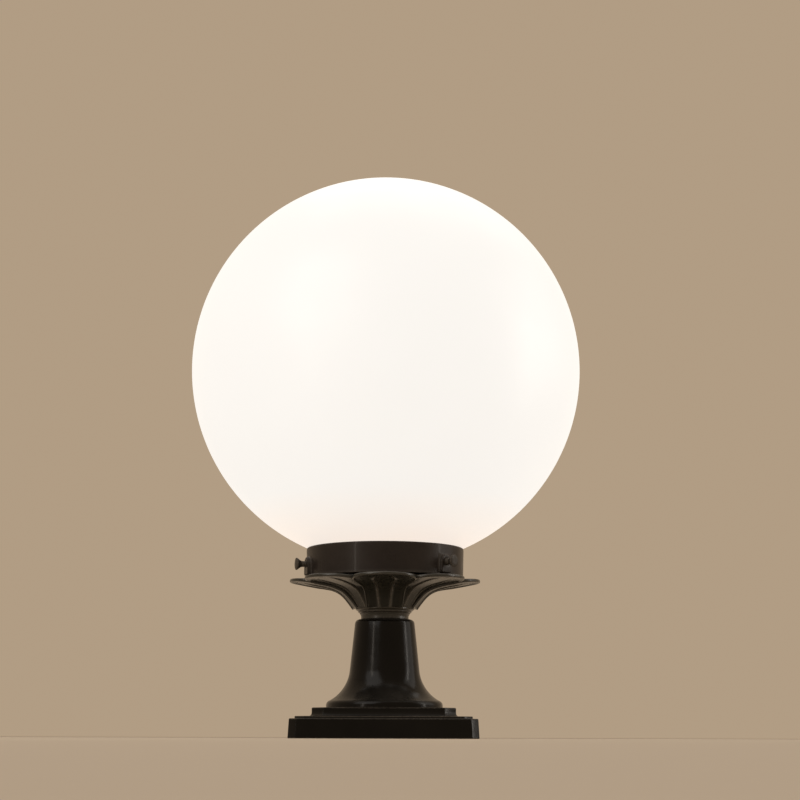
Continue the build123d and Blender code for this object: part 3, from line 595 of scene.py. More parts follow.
def globe_profile():
    """Outer ball from the crown to the neck, the lip, and the inner ball back to the crown.

    A point of a ball lies at its radius times the sine and the cosine of its turn from the crown.
    """
    inner_r, inner_neck = GLOBE_R - GLOBE_WALL, NECK_R - GLOBE_WALL
    outer_stop = math.asin((NECK_R + 1.2) / GLOBE_R)
    inner_stop = math.asin((inner_neck + 3.5) / inner_r)
    down = np.linspace(0, math.pi - outer_stop, 110)
    up = np.linspace(math.pi - inner_stop, 0, 90)
    outer = np.stack([GLOBE_R * np.sin(down), GLOBE_CENTRE + GLOBE_R * np.cos(down)], 1)
    inner = np.stack([inner_r * np.sin(up), GLOBE_CENTRE + inner_r * np.cos(up)], 1)
    neck = rounded(
        [outer[-1], (NECK_R, outer[-1][1] - 0.4), (NECK_R, NECK_BOTTOM), (inner_neck, NECK_BOTTOM),
         (inner_neck, inner[0][1] - 1.2), inner[0]],
        [0, 1.0, 1.3, 1.3, 4.0, 0], closed=False)
    return np.concatenate([outer[:-1], neck, inner[1:]])


make_piece("opal_globe", [turned(globe_profile(), 192, closed=False)], "globe", opal, ["globe"],
           sharp=60)

# %% [markdown]
# ## The gallery ring
# The ring is a spun cup that the globe's neck drops into, with three small bosses for the thumbscrews.
# A boss could be joined on by a boolean, but that leaves long thin faces and a hard seam. Instead the
# wall is a profile carried round the axis, with a window left out wherever a boss stands. First come the
# sizes, and the angles of the columns, which lie close together at each boss.

# %% Ring: sizes and columns
COLLAR_TOP, RING_TOP = heights("gallery_ring")
FLOOR_TOP = COLLAR_TOP + 2.6
ROD_HOLE = 5.3  # radius of every hole that the threaded rod passes
RING_BORE = 56.85
WALL_FOOT, WALL_WIDENING, WALL_RISE = 59.45, 0.4, 23.0
WALL_MIDDLE = 59.7
SCREW_Z = COLLAR_TOP + 9.2
SCREW_AZIMUTHS = np.radians([197.5, 317.5, 77.5])
WINDOW_HALF = 7.0
ACROSS, UP, BETWEEN = 14, 16, 35  # faces across and up a window, and columns between two windows


def ring_columns():
    """Angles of the ring's columns: even steps across each window, wider even steps between two."""
    near = SCREW_AZIMUTHS[:, None] + np.linspace(-WINDOW_HALF, WINDOW_HALF, ACROSS + 1)[None] / WALL_MIDDLE
    gap = 2 * math.pi / 3 - 2 * WINDOW_HALF / WALL_MIDDLE
    between = near[:, -1:] + gap * np.arange(1, BETWEEN + 1)[None] / (BETWEEN + 1)
    return np.concatenate([near, between], axis=1).ravel()


def wall_radius(height):
    """The ring's outer radius at a height. The cup is slightly wider at its top, in a straight line."""
    return WALL_FOOT + WALL_WIDENING * (height - COLLAR_TOP) / WALL_RISE


ring_angle = ring_columns()
print("ring columns:", len(ring_angle))

# %% [markdown]
# The wall's profile goes up the outside, over the flared lip, down the inside and along the floor to the
# rod's hole. The rows that bound a window are part of it, outside and inside.

# %% Ring: wall
outer_rows = np.linspace(COLLAR_TOP + 0.45, SCREW_Z + 6.9, UP + 1)
inner_rows = np.linspace(SCREW_Z + 5.4, SCREW_Z - 5.4, UP + 1)
ring_head = rounded(
    [(59.84, RING_TOP - 3.2), (59.78, RING_TOP - 0.1), (RING_BORE, RING_TOP - 1.62),
     (RING_BORE, inner_rows[0] + 1.0)],
    [0, 0.8, 0.5, 0], closed=False)
ring_foot = rounded(
    [(RING_BORE, inner_rows[-1] - 0.4), (RING_BORE, FLOOR_TOP), (ROD_HOLE, FLOOR_TOP), (ROD_HOLE, COLLAR_TOP),
     (WALL_FOOT, COLLAR_TOP), (WALL_FOOT + 0.01, outer_rows[0])],
    [0, 0.5, 0.3, 0.3, 0.35, 0], closed=False)
outer_wall = np.stack([wall_radius(outer_rows), outer_rows], 1)
inner_wall = np.stack([np.full(UP + 1, RING_BORE), inner_rows], 1)
ring_profile = np.concatenate([outer_wall, ring_head[1:], inner_wall, ring_foot[:-1]])
ring_points = turned(ring_profile, ring_angle)["points"]
inner_first = UP + 1 + len(ring_head) - 1
ring_windows = []
for number in range(3):
    left = number * (ACROSS + 1 + BETWEEN)
    ring_windows.append((0, UP, left, left + ACROSS))
    ring_windows.append((inner_first, inner_first + UP, left, left + ACROSS))
print("ring rows:", len(ring_profile), "windows:", len(ring_windows))

# %% [markdown]
# A patch of loops fills each window: from the window's edge to the arch of the boss, out along its side,
# over its rounded edge, in to the screw's hole, and through the hole to the second window inside.

# %% Ring: bosses
BOSS_FACE, BOSS_HALF, BOSS_DEPTH = 62.4, 5.4, 8.3
SCREW_HOLE, HOLE_LIP, EDGE_R = 2.46, 2.85, 1.0


def window_edge(points, top, bottom, left, right):
    """The points round a window of a grid, in order, starting at its first corner."""
    return np.concatenate([points[top, left:right], points[top:bottom, right],
                           points[bottom, right:left:-1], points[bottom:top:-1, left]])


def screw_frame(azimuth):
    """Unit vectors along the circle, up, and outward at an azimuth."""
    along = np.array([-math.sin(azimuth), math.cos(azimuth), 0.0])
    outward = np.array([math.cos(azimuth), math.sin(azimuth), 0.0])
    return along, np.array([0.0, 0.0, 1.0]), outward


def arch(angle, half, depth):
    """Distance from the screw's axis to the outline of an arch: a half circle over a deep rectangle.

    A wall lies at half the width over the cosine, the floor at its depth over the sine. Below the axis the
    two are joined by a high power mean, which rounds their corners.
    """
    wall = half / np.maximum(np.abs(np.cos(angle)), 1e-3)
    floor = depth / np.maximum(-np.sin(angle), 1e-3)
    below = (wall**-14 + floor**-14) ** (-1 / 14)
    return np.where(np.sin(angle) > 0, half, below)


def boss(azimuth, outer_edge, inner_edge):
    """Loops from the outer window over the boss and through its screw hole to the inner window.

    A loop is a reach from the screw's axis for each turn round it, put at a distance from the lamp's axis.
    """
    along, up, outward = screw_frame(azimuth)
    turn = np.arctan2(outer_edge[:, 2] - SCREW_Z, outer_edge @ along)
    inner_turn = np.arctan2(inner_edge[:, 2] - SCREW_Z, inner_edge @ along)

    def loop(reach, distance, turn=turn):
        across = np.broadcast_to(reach * np.cos(turn), turn.shape)
        height = SCREW_Z + reach * np.sin(turn)
        if callable(distance):
            distance = np.sqrt(distance(height) ** 2 - across**2)
        distance = np.broadcast_to(distance, across.shape)
        return across[:, None] * along + distance[:, None] * outward + height[:, None] * up

    shape = arch(turn, BOSS_HALF, BOSS_DEPTH)
    fillet = 0.35
    bend = np.linspace(0, math.pi / 2, 6)
    loops = [outer_edge, loop(shape + fillet, wall_radius)]
    loops += [loop(shape, lambda height: wall_radius(height) + fillet)]
    for t in bend:
        loops.append(loop(shape - EDGE_R + EDGE_R * math.cos(t), BOSS_FACE - EDGE_R + EDGE_R * math.sin(t)))
    loops += [loop(reach, BOSS_FACE) for reach in (shape * 0.5 + 1.0, HOLE_LIP)]
    loops += [loop(SCREW_HOLE, BOSS_FACE - 0.4)]
    loops += [loop(SCREW_HOLE, lambda height: 0 * height + RING_BORE, inner_turn), inner_edge]
    return grid(np.stack(loops))


ring_grids = [grid(ring_points, round_rows=True, windows=ring_windows)]
inner_half = ring_points[inner_first:inner_first + UP + 1][::-1]
for azimuth, (_, _, left, right) in zip(SCREW_AZIMUTHS, ring_windows[::2]):
    ring_grids.append(boss(azimuth, window_edge(ring_points, 0, UP, left, right),
                           window_edge(inner_half, 0, UP, left, right)))
make_piece("gallery_ring_cup", ring_grids, "stand", enamel_ring, ["gallery_ring"], sharp=50)

# %% [markdown]
# ## Thumbscrews and their tips
# Each screw is a thin threaded shank with a head like a small trumpet, coned behind and domed in front,
# and it needs no tool. The Screw modifier could wind a thread, but it leaves loose ends. Here the radius
# of the shank rises and falls as a triangle wave, shifted by one pitch in each turn round, which makes a
# helix and fades out at both ends. The rim of the head is knurled with fine straight ribs. The soft
# nylon tip is what meets the globe's neck.

# %% Threads and knurls


def helix(pitch, depth, start, stop, beyond=2.0):
    """A thread as a change of radius, only on points farther out than `beyond`.

    It is a triangle wave of the height over the pitch less the angle's share of a turn, and it fades out
    over one pitch at each end.
    """

    def ripple(radius, height, angle):
        phase = (height / pitch - angle / (2 * math.pi)) % 1.0
        wave = np.abs(2 * phase - 1)
        fade = np.clip((height - start) / pitch, 0, 1) * np.clip((stop - height) / pitch, 0, 1)
        return -depth * wave * fade * (radius > beyond)

    return ripple


def both(*ripples):
    """Several changes of radius added together."""
    return lambda radius, height, angle: sum(ripple(radius, height, angle) for ripple in ripples)


def knurl(count, depth, start, stop):
    """Straight ribs round a head, only between two heights: the square of a raised cosine of the angle."""

    def ripple(radius, height, angle):
        inside = np.clip((height - start) / 0.3, 0, 1) * np.clip((stop - height) / 0.3, 0, 1)
        return -depth * inside * (0.5 + 0.5 * np.cos(count * angle)) ** 2

    return ripple


print("bottom of a thread 0.5 mm deep:", helix(1.0, 0.5, 0.0, 9.0)(5.0, 4.0, 0.0))

# %% [markdown]
# Each shape is made round the Z axis, as on a lathe, and then laid onto the screw's own axis, with the
# distance from the lamp's axis as its height. The screw is hollow at its end, where the tip's stem sits.

# %% Thumbscrews
SCREW_R = 2.36
THREAD_PITCH, THREAD_DEPTH = 0.8, 0.34


def at_screw(azimuth, height=SCREW_Z):
    """Lays a shape made round the Z axis onto an axis that points outwards at a height.

    Its x runs along the circle, its y upwards and its z outwards.
    """
    along, up, outward = screw_frame(azimuth)
    return lambda points: points @ np.stack([along, up, outward]) + np.array([0, 0, height])


pad_profile = rounded([(0, 54.8), (1.95, 54.8), (1.95, 57.8), (1.0, 57.8), (1.0, 60.95), (0, 60.95)],
                      [0, 0.45, 0.15, 0.1, 0.15, 0], closed=False)
shank = np.arange(58.3, 65.9, 0.1)
screw_profile = np.concatenate([
    rounded([(0, 61.1), (1.05, 61.1), (1.05, 57.85), (SCREW_R, 57.85), (SCREW_R, 58.3)],
            [0, 0.1, 0.08, 0.25, 0], closed=False),
    np.stack([np.full(len(shank), SCREW_R), shank], 1)[1:],
    rounded([(SCREW_R, 65.9), (2.5, 66.35), (4.55, 69.2), (4.58, 69.95), (2.6, 70.38), (0, 70.4)],
            [0, 0.5, 0.5, 0.25, 1.2, 0], closed=False)])
screw_ripples = both(helix(THREAD_PITCH, THREAD_DEPTH, 58.4, 65.9), knurl(30, 0.22, 68.9, 70.15))
for number, azimuth in enumerate(SCREW_AZIMUTHS, start=1):
    place = at_screw(azimuth)
    make_piece(f"screw_tip_{number}", [turned(pad_profile, 32, closed=False)],
               f"pad_{number}", nylon, [f"screw_pad_{number}"], place)
    make_piece(f"knurled_screw_{number}", [turned(screw_profile, 120, closed=False, ripple=screw_ripples)],
               f"thumbscrew_{number}", screw_black, [f"thumbscrew_{number}"], place)

# %% [markdown]
# ## The petal collar
# The collar is one casting in the form of an open flower: eight petals on a bell, four in front and
# four half behind them. It could be sculpted, or built from one petal bent by a modifier. Here every
# petal is worked out flat and then laid on the bell, which keeps its beads and veins crisp, because the
# grid follows them. The bell's curve is a cubic whose two inner points share one corner.

# %% Collar: the bell
COLUMN_TOP = heights("petal_collar")[0]
FOOT_R, FOOT_Z = 23.75, COLUMN_TOP + 8.6
BELL_CORNER = np.array([35.2, COLUMN_TOP + 24.4])
REACH, RIM_Z = 72.5, COLLAR_TOP - 1.9
bell_t = np.linspace(0, 1, 1501)[:, None]
bell_curve = ((1 - bell_t) ** 3 * np.array([FOOT_R, FOOT_Z])
              + 3 * (1 - bell_t) * bell_t * BELL_CORNER
              + bell_t**3 * np.array([REACH + 3.6, RIM_Z]))
bell_slope = unit(np.gradient(bell_curve, axis=0))


def on_bell(x, y, lift):
    """Lays flat points on the bell, moved off it by a lift along the bell's outward normal."""
    radius = np.hypot(x, y)
    height = np.interp(radius, bell_curve[:, 0], bell_curve[:, 1])
    slope_r = np.interp(radius, bell_curve[:, 0], bell_slope[:, 0])
    slope_z = np.interp(radius, bell_curve[:, 0], bell_slope[:, 1])
    stretch = (radius + slope_z * lift) / radius
    return np.stack([x * stretch, y * stretch, height - slope_r * lift], -1)


def bell_profile(lift, radii):
    """The bell's own section at a lift, at these distances from the axis."""
    points = on_bell(np.asarray(radii, float), np.zeros(len(radii)), lift)
    return points[:, [0, 2]]


print("bell from", bell_curve[0], "to", bell_curve[-1])

# %% [markdown]
# Three flat lines give a half petal: its middle, its vein and its outline. Rows between them run from
# the middle to the edge, over the rim and back inside, so the leaf has a real thickness. Each row has a
# height, which makes the vein and the rolled bead, and the other half is its mirror image.

# %% Collar: one petal
LOBE_X, LOBE_HALF = 54.5, 23.6  # where the petal is widest, and half its width there
GROWTH_X = 14.25  # where the petal's width starts to grow, inside its foot
BEAD = 1.8  # width of the rolled edge
VEIN_X, VEIN_Y = 12.6, 8.0  # how far the vein reaches past the lobe's middle, and to its side
VEIN_FADE = 10  # length over which the vein sinks away on the lobe
LIFT_UNTIL, LIFT_FADE = 56, 12  # where the petal comes down to the bell, and over what length
FOOT_BLEND = 14.0  # length over which the foot follows the neck's circle


def petal_lines(side_steps=30, tip_steps=26):
    """Three flat lines of a half petal, from its foot to its tip: middle, vein and outline.

    The half width starts at 12.4 and grows by 11.2 times a polynomial of the way to the lobe, and a quarter
    of an ellipse closes the tip.
    """
    x = np.linspace(FOOT_R, LOBE_X, side_steps)
    rise = (x - GROWTH_X) / (LOBE_X - GROWTH_X)
    width = 12.4 + 11.2 * (1.442 * rise**2 + 0.396 * rise**3 - 0.839 * rise**4)
    turn = np.linspace(math.pi / 2, 0, tip_steps + 1)[1:]
    tip = np.stack([LOBE_X + (REACH - LOBE_X) * np.cos(turn), LOBE_HALF * np.sin(turn)], 1)
    outline = np.concatenate([np.stack([x, width], 1), tip])
    inner_x = np.concatenate([x, LOBE_X + VEIN_X * np.cos(turn)])
    vein_y = np.concatenate([2.4 + 5.6 * rise, VEIN_Y * np.sin(turn)])
    middle = np.stack([inner_x, np.zeros(len(inner_x))], 1)
    return middle, np.stack([inner_x, vein_y], 1), outline


def petal(azimuth, lift):
    """A closed leaf: lower face with veins and bead, rim, and upper face, as one grid, and a cap at its foot.

    The petal's lift raises it off the bell near its foot and fades towards the rim, where all petals meet.
    """
    middle, vein, outline = petal_lines()
    tangent = unit(np.gradient(outline, axis=0))
    outward = np.stack([-tangent[:, 1], tangent[:, 0]], 1)
    bead = outline - BEAD * outward
    away = unit(bead - vein)
    room = np.minimum(1, np.linalg.norm(vein - middle, axis=1, keepdims=True) / 1.4)
    rows, levels = [], []

    def row(points, height, raised=1, fading=0):
        rows.append(points)
        levels.append((height, raised, fading))

    # The hollow between the middle and the vein, and the vein itself, which fades out on the lobe.
    for share, height in ((0, -0.05), (0.35, -0.02), (0.7, 0.1)):
        row(middle + (vein - middle) * share * (1 - 0.1 * room), height)
    for step, height in ((-0.6, 0.2), (-0.38, 0.45), (-0.15, 0.68), (0.15, 0.68), (0.38, 0.45), (0.6, 0.15)):
        row(vein + away * step * (room if step < 0 else 1), height, fading=1)
    # The wider hollow from the vein to the bead, and the bead.
    for share, height in ((0.18, -0.02), (0.36, -0.1), (0.55, -0.14), (0.75, -0.1), (0.92, 0.02)):
        row(vein + away * 0.6 + (bead - vein - away * 0.6) * share, height)
    for step, height in ((0.05, 0.15), (0.3, 0.5), (0.7, 0.74), (1.1, 0.74), (1.5, 0.5), (1.74, 0.15)):
        row(bead + outward * step, height)
    # Over the rim, and along the back to the middle.
    for step, height in ((BEAD, -0.3), (BEAD, -0.9), (1.62, -1.35), (1.2, -1.6), (0.4, -1.75)):
        row(bead + outward * step, height, raised=int(height > -0.5))
    for share, height in ((0.7, -2.2), (0.4, -2.5), (0.0, -2.6)):
        row(middle + (bead - middle) * share, height, raised=0)
    flat = np.stack(rows)
    level, raised, fading = np.array(levels)[:, :, None].transpose(1, 0, 2)
    level = level * (1 - fading * np.clip((flat[..., 0] - LOBE_X) / VEIN_FADE, 0, 1))
    out = np.hypot(flat[..., 0], flat[..., 1])
    height = level + raised * lift * (1 - np.clip((out - LIFT_UNTIL) / LIFT_FADE, 0, 1))
    fade = np.clip((flat[..., 0] - FOOT_R) / FOOT_BLEND, 0, 1)
    start = np.sqrt(np.maximum(FOOT_R**2 - flat[..., 1] ** 2, 60.0))
    x = flat[..., 0] + (start - FOOT_R) * (1 - fade) ** 2
    right = on_bell(x, flat[..., 1], height)
    left = right * np.array([1, -1, 1])
    sheet = np.concatenate([right, left[:, ::-1][:, 1:]], axis=1)
    foot = np.concatenate([sheet[:, 0], sheet[::-1, -1][1:-1]])
    cap = np.stack([foot, np.broadcast_to(foot.mean(0), foot.shape)])
    turn = turn_by(azimuth)
    return [grid(sheet @ turn, round_columns=False), grid(cap @ turn)]


print("points of a petal:", petal(0.0, 0.9)[0]["points"].shape)

# %% [markdown]
# Behind the petals the bell is a plain turned shell, with two fine rings at its neck, a hub that carries
# the gallery, and four upright ribs between the hub and the shell. All of it is one casting, so all the
# grids become one piece.

# %% Collar: core, ribs and the piece
SHELL_OUTSIDE, SHELL_INSIDE = -1.5, -3.7  # lifts of the plain shell's two faces
HUB_R = 12.0


def collar_core():
    """The bell behind the petals, its neck with two fine rings, and the hub that carries the gallery."""
    out = np.linspace(24.5, 56.0, 26)
    neck = rounded(
        [(ROD_HOLE, COLUMN_TOP), (18.1, COLUMN_TOP), (18.0, COLUMN_TOP + 2.6), (19.3, COLUMN_TOP + 4.9),
         (20.3, COLUMN_TOP + 5.4), (20.4, COLUMN_TOP + 6.4), (21.2, COLUMN_TOP + 6.7),
         (22.0, COLUMN_TOP + 7.4), (22.0, COLUMN_TOP + 8.3), bell_profile(SHELL_OUTSIDE, [23.9])[0]],
        [0.2, 0.3, 3.0, 0.8, 0.4, 0.3, 0.3, 0.4, 0.5, 0], closed=False)
    under = bell_profile(SHELL_OUTSIDE, out)
    over = bell_profile(SHELL_INSIDE, out[::-1])
    hub = rounded(
        [over[-1], (HUB_R, FOOT_Z + 2.2), (HUB_R, COLLAR_TOP),
         (ROD_HOLE, COLLAR_TOP), (ROD_HOLE, COLUMN_TOP)],
        [0, 1.5, 0.3, 0.3, 0], closed=False)
    return turned(np.concatenate([neck, under, over[:-1], hub]), 144)


def rib(azimuth):
    """A thin upright rib inside the bell: four-cornered sections at steps out from the hub."""
    out = np.linspace(10.0, 50.0, 20)
    bottom = np.interp(out, *bell_profile(-2.6, np.linspace(FOOT_R, 56, 60)).T)
    top = np.full(len(out), COLLAR_TOP)
    half = 1.3
    corners = ((-half, bottom), (half, bottom), (half, top), (-half, top))
    loops = np.stack([np.stack([out, out * 0 + side, height], 1) for side, height in corners], 1)
    return lofted(loops @ turn_by(azimuth))


collar_grids = [collar_core()]
for number in range(4):
    collar_grids.append(rib(number * math.pi / 2))
    collar_grids += petal(number * math.pi / 2, 0.9)
    collar_grids += petal(number * math.pi / 2 + math.pi / 4, 0.0)
make_piece("flower_collar", collar_grids, "stand", enamel_collar, ["petal_collar"], sharp=55)

# %% [markdown]
# ## The column
# The column is a turned casting, slightly tapered, that sweeps out at its foot in a wide arc and ends
# in a rolled lip. A curve drawn by eye would turn it just as well, but gloss paint shows every kink in
# its long reflections. So two arcs are worked out that leave the straight run along its own direction.

# %% Column
BASE_TOP = heights("column")[0]
COLUMN_FOOT_R, CROWN_R, COLUMN_BORE = 43.9, 19.6, 21.3
WAIST_Z = BASE_TOP + 28.2


def column_profile():
    """Outer line from the foot up to the crown, and the hollow inside, as one closed line."""
    foot, lip = (COLUMN_FOOT_R, BASE_TOP + 2.2), (41.3, BASE_TOP + 5.8)
    waist, neck = (26.3, WAIST_Z), (22.6, COLUMN_TOP - 3.0)
    run = np.array(neck) - waist
    sweep = arc_from(waist, -run, lip, 40)[::-1]
    roll = arc_from(foot, (0, 1), lip, 10)
    crown = arc_from(neck, run, (CROWN_R, COLUMN_TOP), 10)
    inside = rounded(
        [(CROWN_R, COLUMN_TOP), (ROD_HOLE, COLUMN_TOP), (ROD_HOLE, COLUMN_TOP - 5), (19.4, COLUMN_TOP - 5),
         (COLUMN_BORE, WAIST_Z), (COLUMN_BORE, BASE_TOP), (COLUMN_FOOT_R, BASE_TOP), foot],
        [0, 0.3, 0.3, 1.5, 2.0, 0.4, 0.5, 0], closed=False)
    straight = np.linspace(waist, neck, 8)[1:-1]
    return np.concatenate([roll[1:-1], sweep, straight, crown, inside[1:]])


make_piece("cast_column", [turned(column_profile(), 160)], "stand", enamel_black, ["column"],
           sharp=30)

# %% [markdown]
# ## The square base
# The base is three square steps with cut corners. Three stacked blocks would do from afar, but the real
# one is a single hollow casting. An outline is four sides, each with a fixed pattern of points, and two
# small arcs at each cut corner. The walls lean in a little, as a casting must to leave its mould.

# %% Base: outlines
SET_Z, SET_R = 8.0, 2.5  # height and radius of the holes for the set screws
DRAFT = math.tan(math.radians(3.2))
BASE_WINDOW = 8  # faces along each side of a window
STEP_HALF, STEP_CUT = 52.5, 8.6  # half size and corner cut of the top step
side_points = np.concatenate(
    [[-34, -22, -12, -6.5], np.linspace(-4.4, 4.4, BASE_WINDOW + 1), [6.5, 12, 22, 34]])


def cut_square(half, cut, corner=1.2, arc_steps=5):
    """Outlines of squares with cut corners, one per row.

    One quarter is a side and two arcs of 45 degrees, each round its corner's own middle. The others are
    the same quarter turned: x and y change places and sign.
    """
    half, cut = np.asarray(half, float)[:, None], np.asarray(cut, float)[:, None]
    lean = corner * math.tan(math.pi / 8)
    turn = np.linspace(0, math.pi / 4, arc_steps)
    sides = np.stack(np.broadcast_arrays(half, side_points[None]), -1)
    first = np.stack([half - corner + corner * np.cos(turn), half - cut - lean + corner * np.sin(turn)], -1)
    turn = turn + math.pi / 4
    second = np.stack([half - cut - lean + corner * np.cos(turn), half - corner + corner * np.sin(turn)], -1)
    quarter = np.concatenate([sides, first, second], 1)
    x, y = quarter[..., 0], quarter[..., 1]
    quarters = [np.stack(pair, -1) for pair in ((x, y), (-y, x), (-x, -y), (y, -x))]
    return np.concatenate(quarters, 1)


print("points of an outline:", cut_square([STEP_HALF], [STEP_CUT]).shape[1])

# %% [markdown]
# Rows of such outlines at different sizes and heights make the steps, and round rows make the spigot and
# the rod's hole, so the whole casting is a single closed grid. A round row takes its angles from the
# points of the top step, so that no face is twisted where square turns to round.

# %% Base: rows
SQUARE, ROUND = 0, 1


def stepped(corners):
    """Rows of outlines from corners of (half size or radius, height, cut, rounding, is it round)."""
    corners = np.array(corners, float)
    line = rounded(corners[:, :2], corners[:, 3])
    each = len(line) // len(corners)
    cut, is_round = np.repeat(corners[:, 2], each), np.repeat(corners[:, 4], each)
    square = cut_square(line[:, 0], cut)
    reference = cut_square([STEP_HALF], [STEP_CUT])[0]
    angle = np.arctan2(reference[:, 1], reference[:, 0])
    circle = line[:, :1, None] * np.stack([np.cos(angle), np.sin(angle)], -1)[None]
    flat = np.where(is_round[:, None, None] == ROUND, circle, square)
    return np.concatenate([flat, np.repeat(line[:, None, 1:], flat.shape[1], 1)], -1)


FOOT_HALF, INSIDE_HALF, FOOT_CUT = 68.7, 64.7, 5.5
LEDGE_HALF, LEDGE_CUT = 64.1, 6.5
SPIGOT_R, SPIGOT_TOP = 21.0, BASE_TOP + 3
STEP_FOOT, SHOULDER = BASE_TOP - 6.3, 14.2
WEB = 4.0  # thickness of the casting under its steps
HOLLOW_HALF = 48.5
set_rows = np.linspace(SET_Z + 3.6, SET_Z - 3.6, BASE_WINDOW + 1)
wall_out = [(FOOT_HALF - z * DRAFT, z, FOOT_CUT, 0, SQUARE) for z in set_rows]
wall_in = [(INSIDE_HALF, z, FOOT_CUT, 0, SQUARE) for z in set_rows[::-1]]
base_corners = [
    (ROD_HOLE, SPIGOT_TOP, 0, 0.3, ROUND), (SPIGOT_R, SPIGOT_TOP, 0, 0.4, ROUND),
    (SPIGOT_R, BASE_TOP, 0, 0, ROUND),
    (STEP_HALF, BASE_TOP, STEP_CUT, 0.9, SQUARE), (STEP_HALF, STEP_FOOT, STEP_CUT, 2.4, SQUARE),
    (LEDGE_HALF, STEP_FOOT, LEDGE_CUT, 0.5, SQUARE), (LEDGE_HALF, SHOULDER, LEDGE_CUT, 0.3, SQUARE),
    (FOOT_HALF - SHOULDER * DRAFT, SHOULDER, FOOT_CUT, 0.8, SQUARE), *wall_out,
    (FOOT_HALF, 0, FOOT_CUT, 0.5, SQUARE), (INSIDE_HALF, 0, FOOT_CUT, 0.3, SQUARE), *wall_in[:-1],
    (INSIDE_HALF, STEP_FOOT - WEB, FOOT_CUT, 0.25, SQUARE),
    (HOLLOW_HALF, STEP_FOOT - WEB, STEP_CUT, 0.8, SQUARE),
    (HOLLOW_HALF, BASE_TOP - WEB, STEP_CUT, 1.5, SQUARE), (ROD_HOLE, BASE_TOP - WEB, 0, 0.3, ROUND)]
base_points = stepped(base_corners)
fresh = np.abs(np.diff(base_points, axis=0)).max((1, 2)) > 1e-6
base_points = base_points[np.concatenate([[True], fresh])]
print("rows and columns of the base:", base_points.shape[:2])

# %% [markdown]
# Two windows in the side walls take the holes of the set screws, and a patch of loops leads from the
# outer window through the hole to the inner one, as on the bosses of the ring.

# %% Base: set screw holes


def row_at(half, height):
    """The row of the base that starts nearest to this half size and height."""
    return int(np.argmin(np.abs(base_points[:, 0, 0] - half) + np.abs(base_points[:, 0, 2] - height)))


def set_hole(azimuth, outer_edge, inner_edge):
    """Loops from the wall's outer window through the set screw's hole to the inner window."""
    along, up, outward = screw_frame(azimuth)
    turn = np.arctan2(outer_edge[:, 2] - SET_Z, outer_edge @ along)

    def loop(reach, distance):
        height = SET_Z + reach * np.sin(turn)
        return ((reach * np.cos(turn))[:, None] * along + height[:, None] * up
                + np.broadcast_to(distance(height), height.shape)[:, None] * outward)

    lip = 0.4
    loops = [outer_edge, loop(SET_R + lip, lambda z: FOOT_HALF - z * DRAFT),
             loop(SET_R, lambda z: FOOT_HALF - lip - z * DRAFT),
             loop(SET_R, lambda z: INSIDE_HALF + 0 * z), inner_edge]
    return grid(np.stack(loops))


out_row, in_row = row_at(FOOT_HALF - set_rows[0] * DRAFT, set_rows[0]), row_at(INSIDE_HALF, set_rows[-1])
half_turn = base_points.shape[1] // 2
first_column = 4  # the side points before the window
base_windows, base_grids = [], []
inner_wall_rows = base_points[in_row:in_row + BASE_WINDOW + 1][::-1]
for azimuth, left in ((0.0, first_column), (math.pi, first_column + half_turn)):
    right = left + BASE_WINDOW
    base_windows += [(row, row + BASE_WINDOW, left, right) for row in (out_row, in_row)]
    base_grids.append(set_hole(azimuth, window_edge(base_points[out_row:], 0, BASE_WINDOW, left, right),
                               window_edge(inner_wall_rows, 0, BASE_WINDOW, left, right)))
base_grids.append(grid(base_points, round_rows=True, windows=base_windows))
make_piece("stepped_base", base_grids, "stand", enamel_black, ["base_casting"], sharp=50)

# %% [markdown]
# ## Rod, nuts and washers
# One hollow threaded rod ties the base, the column, the collar and the gallery together between two
# nuts, and the wires run up inside it. A plain tube with a bumpy finish would look the same from afar,
# but the rod's mesh is a result too, so the helix of the thumbscrews cuts its thread as well.

# %% Rod
ROD_R, ROD_BORE, ROD_ENTRY = 4.98, 3.6, 0.7
rod_foot, rod_head = heights("threaded_rod")
rod_rows = np.arange(rod_foot + 0.8, rod_head - 0.8, 0.2)
rod_profile = np.concatenate([
    [(ROD_BORE, rod_foot + 0.3), (3.9, rod_foot), (4.45, rod_foot), (ROD_R, rod_foot + ROD_ENTRY)],
    np.stack([np.full(len(rod_rows), ROD_R), rod_rows], 1),
    [(ROD_R, rod_head - ROD_ENTRY), (4.45, rod_head), (3.9, rod_head), (ROD_BORE, rod_head - 0.3)]])
rod_thread = helix(1.0, 0.5, rod_foot + 0.6, rod_head - 0.6)
make_piece("threaded_stem", [turned(rod_profile, 40, ripple=rod_thread)], "stand", zinc,
           ["threaded_rod"])

# %% [markdown]
# A nut could be a cylinder of six sides. Here its outline is a hexagon with its corners cut by a cone, so
# the height of each edge point depends on how far that point stands out past the flats. A washer is a
# turned ring, and the edge that the punch leaves is rounder on one side.

# %% Nuts and washers
NUT_HALF, NUT_BORE, NUT_COLUMNS = 7.0, 4.75, 72
WASHER_EDGES = [0.15, 0.3, 0.5, 0.3]


def hexagon(angle, apothem):
    """Distance from the middle of a hexagon to its side at each angle: the apothem over a cosine."""
    return apothem / np.cos((angle + math.pi / 6) % (math.pi / 3) - math.pi / 6)


